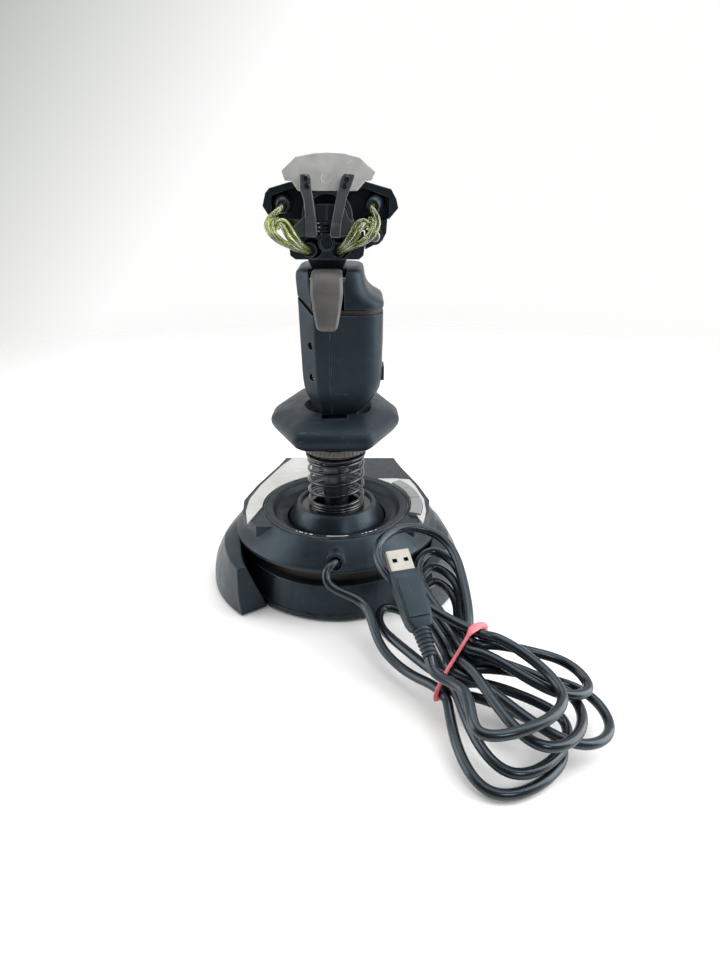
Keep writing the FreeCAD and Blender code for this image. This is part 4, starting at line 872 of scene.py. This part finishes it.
def coil_part(low_turn, high_turn):
    """Part of the open coil, close-wound at both ends."""
    path = []
    count = int((high_turn - low_turn) * COIL_STEPS)
    for k in range(count + 1):
        turn = low_turn + (high_turn - low_turn) * k / count
        height = between(COIL_RISE, min(turn, 6.999))[0]
        angle = math.tau * turn + 0.8
        path.append(vec(COIL_RADIUS * math.cos(angle), COIL_RADIUS * math.sin(angle), height))
    return sweep(path, lambda share: disc(0.95, 12))


def build_spring():
    """The coil in two parts, the lower and the upper coils, which stay joined half way."""
    parts = (coil_part(0.0, HALF_WAY), coil_part(HALF_WAY, COIL_RISE[-1][0]))
    lower, upper = [add(f"spring_{name}_coils", part, "spring_steel", None, replaces=("centering_spring",))
                    for name, part in zip(("lower", "upper"), parts)]
    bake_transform(lower)
    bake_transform(upper)


# ---------------------------------------------------------------- cable

HANK_CENTER = vec(-62.0, 118.0, 26.5)
HANK_SIDE = vec(-0.80, -0.60, 0.0)
HANK_NECK = vec(-0.50, 0.80, -0.10)
HANK_LIFT = vec(0.0, 0.0, 1.0)
LAYER_RISE = 5.0
LAYER_SHIFT = 3.6
STRAND_HALF_GAP = 2.95
LOWER_DROP = -12.0
CORD_RADIUS = 2.2
LOOP_STEPS = 8
WIDEST_SHARE = 0.65
DROP_REACH = 60.0
FAN_PINCH = 0.75
# heading in degrees from +X, length, half width
LOWER_LOOPS = (
    (124.0, 56.0, 22.0), (133.0, 54.0, 21.0), (159.0, 69.0, 16.0), (141.0, 58.0, 17.0), (166.0, 57.0, 10.0),
    (114.0, 50.0, 22.0),
)
# heading in degrees from +X, length, half width, rise
UPPER_LOOPS = (
    (-61.0, 66.0, 8.5, 0.0), (-84.0, 58.0, 8.0, 12.0), (-83.0, 61.0, 9.0, 14.0), (-82.0, 64.0, 10.0, 17.0),
    (-66.0, 67.0, 20.0, 27.0),
)
PLUG_BASE = vec(-46.3, 127.6, 36.6)
PLUG_AXIS = vec(0.243, -0.835, 0.488).normalized()
PLUG_LENGTH = 44.0


def strand(side, layer, along=0.0):
    """A point on one strand where the band ties the hank."""
    point = HANK_CENTER + HANK_SIDE * (STRAND_HALF_GAP * side + layer * LAYER_SHIFT)
    return point + HANK_LIFT * (layer * LAYER_RISE) + HANK_NECK * along


def loop_points(heading, length, half_width, first_layer, last_layer, rise):
    """One teardrop loop of the hank, from its left strand to its right strand."""
    angle = math.radians(heading)
    along = vec(math.cos(angle), math.sin(angle), 0.0)
    across = vec(-along.y, along.x, 0.0)
    if across.dot(HANK_SIDE) < 0:
        across = -across
    points = []
    for step in range(1, LOOP_STEPS):
        share = step / LOOP_STEPS
        turn = math.pi * (2.0 * share - 1.0)
        out = (1.0 + math.cos(turn)) / 2.0
        swing = half_width / WIDEST_SHARE * math.sin(turn) * math.cos(turn / 2.0) ** 2
        layer = first_layer + (last_layer - first_layer) * share
        plan = along * (length * out) + across * swing
        fan = STRAND_HALF_GAP * math.sin(turn / 2.0) + layer * LAYER_SHIFT * (1.0 - FAN_PINCH * out)
        reach = plan.length / DROP_REACH if rise < 0 else out
        height = layer * LAYER_RISE + rise * reach ** 1.3
        points.append(HANK_CENTER + plan + HANK_SIDE * fan + HANK_LIFT * height)
    return points


def cord_path():
    """Cable from the base, through the tied hank, to the moulded plug."""
    middle = (len(LOWER_LOOPS) - 1) / 2.0
    points = [
        vec(-1.0, 46.0, 41.4), vec(-1.0, 52.0, 41.2), vec(3.5, 57.5, 38.5), vec(3.0, 61.5, 33.5),
        vec(-6.0, 66.0, 29.5), vec(-16.0, 71.5, 26.5), vec(-21.0, 82.5, 22.0), vec(-26.5, 95.5, 15.5),
        vec(-41.0, 111.5, 12.2),
    ]
    for turn, (heading, length, half_width) in enumerate(LOWER_LOOPS[:-1]):
        layer = turn - middle
        neck = 4.0 if heading < 150.0 else 1.5
        points += [strand(-1, layer, -4.0), strand(-1, layer, neck)]
        points += loop_points(heading, length, half_width, layer, layer, LOWER_DROP)
        points += [strand(1, layer, neck), strand(1, layer, -4.0)]
        climb = loop_points(*UPPER_LOOPS[turn][:3], layer + 1.0, layer, UPPER_LOOPS[turn][3])
        points += climb[::-1]
    last = loop_points(*LOWER_LOOPS[-1], middle - 0.3, middle + 0.3, LOWER_DROP)
    points = points[:-1] + [strand(1, middle, 4.0)] + last[:0:-1]
    return points + [PLUG_BASE - PLUG_AXIS * 7.0, PLUG_BASE + PLUG_AXIS * 3.0]


PLUG_SIDE = (PLUG_AXIS.cross(vec(0, 0, 1))).normalized()
PLUG_FACE = PLUG_SIDE.cross(PLUG_AXIS).normalized()


def plug_point(across, face, along):
    return PLUG_BASE + PLUG_SIDE * across + PLUG_FACE * face + PLUG_AXIS * along


def plug_block(stations, soft):
    """A block along the plug's axis from (length, width, thickness) stations."""
    rings = []
    for along, width, thick in stations:
        w, t = width / 2.0, thick / 2.0
        outline = rounded(((w, t, soft), (-w, t, soft), (-w, -t, soft), (w, -t, soft)), 4)
        rings.append([plug_point(p.x, p.y, along) for p in outline])
    return skin(rings)


def build_plug():
    end = PLUG_LENGTH
    body = plug_block((
        (14.0, 8.6, 6.6), (15.0, 10.6, 7.4), (18.0, 12.8, 7.9), (24.0, 14.2, 8.0), (27.0, 13.6, 7.8),
        (30.0, 14.0, 7.9),
        (36.0, 15.2, 8.0), (end - 0.8, 15.4, 8.0), (end, 14.6, 7.4),
    ), 1.6)
    dots = [sweep([plug_point(x, 3.0, 25.5), plug_point(x, 5.0, 25.5)], lambda share: disc(0.4, 12))
            for x in (-3.0, 3.0)]
    panel = plug_block(((19.0, 10.0, 1.2), (40.0, 10.8, 1.2)), 0.5)
    for vert in panel.verts:
        vert.co += PLUG_FACE * (4.25 * MM)
    add("plug_grip", carve(body, *dots), "plug_pvc", "base", 0.2, ("plug_body",))
    add("plug_panel", panel, "plug_pvc", "base", 0.2)
    axis_path = [plug_point(0, 0, 0.5 + 0.5 * k) for k in range(28)]

    def ribbed(share):
        length = 13.5 * share
        wave = 0.45 if math.sin(length * math.tau / 1.9) > -0.1 else -0.25
        return disc(2.9 + 0.09 * length + wave, 24)
    add("plug_boot", sweep(axis_path, ribbed), "plug_pvc", "base", 0.1)
    shell = plug_block(((end, 12.0, 4.5), (end + 12.0, 12.0, 4.5)), 0.6)
    hollow = plug_block(((end + 0.6, 11.2, 3.7), (end + 13.0, 11.2, 3.7)), 0.3)
    windows = []
    for x in (-2.9, 2.9):
        window = prism(plate(x - 1.15, x + 1.15, -1.0, 1.0, 0.15), "z", 1.0, 4.0)
        for vert in window.verts:
            local = vert.co / MM
            vert.co = plug_point(local.x, local.z, end + 6.2 + local.y) * MM
        bmesh.ops.recalc_face_normals(window, faces=window.faces)
        windows.append(window)
    add("usb_shell_skin", carve(shell, hollow, *windows), "nickel", "base", 0.12, ("usb_shell",))
    tongue = plug_block(((end + 0.8, 10.8, 1.6), (end + 10.8, 10.8, 1.6)), 0.2)
    for vert in tongue.verts:
        vert.co -= PLUG_FACE * (0.9 * MM)
    add("usb_insert", tongue, "black_hole", "base", 0, ("usb_tongue",))


def build_band():
    """Flat rubber band, twisted once, around the waist of the hank."""
    middle = (len(LOWER_LOOPS) - 1) / 2.0
    clearance = CORD_RADIUS + 0.9
    corners = []
    turns = ((-1, -middle, -1, 0), (1, -middle, -1, 1), (1, middle, 1, 0), (-1, middle, 1, 1))
    for side, layer, outward, order in turns:
        flat_edge = HANK_SIDE * (side * clearance * 0.1) + HANK_LIFT * (outward * clearance)
        steep_edge = HANK_SIDE * (side * clearance) + HANK_LIFT * (outward * clearance * 0.1)
        pair = [strand(side, layer) + steep_edge, strand(side, layer) + flat_edge]
        corners += pair[::-1] if order else pair
    path = spline(corners, 14, closed=True)

    def flat(share):
        wide = 1.75 + 0.3 * math.sin(share * math.tau * 3.0)
        return [(a * wide, b * 0.8) for a, b in disc(1.0, 10)]
    add("rubber_band", sweep(path, flat, closed=True, twist=math.tau), "red_rubber", "base", 0,
        ("cable_band",))


def build_cable():
    add("cable_cord", cord(cord_path(), CORD_RADIUS + 0.22, 12, 14), "cord_pvc", "base", 0, ("usb_cable",))
    profile = ((2.5, 0.0), (3.5, 0.0), (3.7, 1.2), (3.5, 6.4), (2.9, 7.2), (2.4, 6.6))
    collar = lathe(profile, (-1.0, 45.5, 41.4), "y", 32)
    add("cable_collar", collar, "charcoal", "base", 0.15, ("cable_grommet",))


build_grip()
build_saddle()
build_trigger()
build_rest()
build_tubes()
build_core()
build_arms()
build_fender(1)
build_fender(-1)
build_dish()
build_rear()
build_spring()
build_cable()
build_plug()
build_band()


# ---------------------------------------------------------------- stage, light and camera

FLOOR_FADE = (0.25, 1.10)
FLOOR_SIZE = 12.0
LIT_SIDE = (0.0, 0.93, 0.36)
# backdrop colours for camera rays only: white, greying towards the top-left corner as painted shade
BACKDROP_PAINTED_SHADE = ((0.50, (0.99, 0.99, 0.985, 1.0)), (1.0, (0.52, 0.54, 0.51, 1.0)))
# name, place, target, width and height, power
LIGHTS = (
    ("left_panel", (-0.75, 0.10, 0.40), (0.0, 0.0, 0.12), (0.6, 0.9), 8.0),
    ("right_panel", (0.80, 0.10, 0.40), (0.0, 0.0, 0.12), (0.6, 0.9), 5.0),
    ("glint", (-0.42, 0.72, 0.62), (0.0, 0.0, 0.20), (0.22, 0.22), 1.6),
    ("top_panel", (-0.1, 0.00, 1.0), (0.0, 0.05, 0.0), (0.9, 0.9), 6.0),
)
CAMERA_PLACE = (-0.0145, 0.3675, 0.2342)
CAMERA_TURN = (65.5, 0.0, 180.0)
CAMERA_LENS = 24.94


def stage_floor():
    """A wide pale floor that fades into the backdrop far from the object."""
    bpy.ops.mesh.primitive_plane_add(size=FLOOR_SIZE, location=(0.0, 0.0, 0.0))
    floor = bpy.context.object
    floor.name = "floor"
    mat = bpy.data.materials.new("floor")
    mat.use_nodes = True
    tree = mat.node_tree
    shader = tree.nodes["Principled BSDF"]
    shader.inputs["Base Color"].default_value = (0.88, 0.885, 0.875, 1.0)
    shader.inputs["Roughness"].default_value = 0.40
    shader.inputs["Specular IOR Level"].default_value = 0.35
    place = new_node(tree, "TexCoord")
    distance = new_node(tree, "VectorMath", operation="LENGTH")
    fade = range_node(tree, *FLOOR_FADE, interpolation_type="SMOOTHSTEP")
    clear = new_node(tree, "BsdfTransparent")
    mix = new_node(tree, "MixShader")
    link = tree.links.new
    link(place.outputs["Object"], distance.inputs[0])
    link(distance.outputs["Value"], fade.inputs["Value"])
    link(fade.outputs["Result"], mix.inputs["Fac"])
    link(shader.outputs["BSDF"], mix.inputs[1])
    link(clear.outputs["BSDF"], mix.inputs[2])
    link(mix.outputs["Shader"], tree.nodes["Material Output"].inputs["Surface"])
    floor.data.materials.append(mat)


def area_light(name, place, target, size, power):
    data = bpy.data.lights.new(name, "AREA")
    data.shape = "RECTANGLE"
    data.size, data.size_y = size
    data.energy = power
    light = bpy.data.objects.new(name, data)
    light.location = place
    light.rotation_euler = (Vector(target) - Vector(place)).to_track_quat("-Z", "Y").to_euler()
    scene.collection.objects.link(light)


def studio():
    """Soft light from above, behind and both sides; the side facing the object's front stays darker. The
    backdrop the camera sees is white, with painted shade greying it towards the top-left.
    """
    world = bpy.data.worlds.new("studio")
    world.use_nodes = True
    tree = world.node_tree
    link = tree.links.new
    back = tree.nodes["Background"]
    place = new_node(tree, "TexCoord")
    facing = new_node(tree, "VectorMath", operation="DOT_PRODUCT")
    facing.inputs[1].default_value = LIT_SIDE
    shade = range_node(tree, 0.05, 0.80, 1.0, 0.10, interpolation_type="SMOOTHSTEP")
    rays = new_node(tree, "LightPath")
    choose = new_node(tree, "Mix", data_type="RGBA")
    link(place.outputs["Generated"], facing.inputs[0])
    link(facing.outputs["Value"], shade.inputs["Value"])
    link(shade.outputs["Result"], choose.inputs[6])
    # painted shade: camera rays see the white backdrop grey towards the top-left corner
    apart = new_node(tree, "SeparateXYZ")
    corner = new_node(tree, "Math", operation="MULTIPLY_ADD")
    corner.inputs[1].default_value = -1.2
    painted_corner_shade = new_node(tree, "ValToRGB")
    for stop, (position, color) in zip(painted_corner_shade.color_ramp.elements, BACKDROP_PAINTED_SHADE):
        stop.position, stop.color = position, color
    link(place.outputs["Window"], apart.inputs[0])
    link(apart.outputs["X"], corner.inputs[0])
    link(apart.outputs["Y"], corner.inputs[2])
    link(corner.outputs[0], painted_corner_shade.inputs["Fac"])
    link(painted_corner_shade.outputs["Color"], choose.inputs[7])
    link(rays.outputs["Is Camera Ray"], choose.inputs["Factor"])
    link(choose.outputs[2], back.inputs["Color"])
    scene.world = world
    for light in LIGHTS:
        area_light(*light)


def main_camera():
    data = bpy.data.cameras.new("main_view")
    data.lens = CAMERA_LENS
    data.sensor_width = 36.0
    data.clip_start, data.clip_end = 0.01, 20.0
    camera = bpy.data.objects.new("main_view", data)
    camera.location = CAMERA_PLACE
    camera.rotation_euler = [math.radians(turn) for turn in CAMERA_TURN]
    scene.collection.objects.link(camera)
    scene.camera = camera


stage_floor()
studio()
main_camera()
scene.view_settings.view_transform = "Standard"
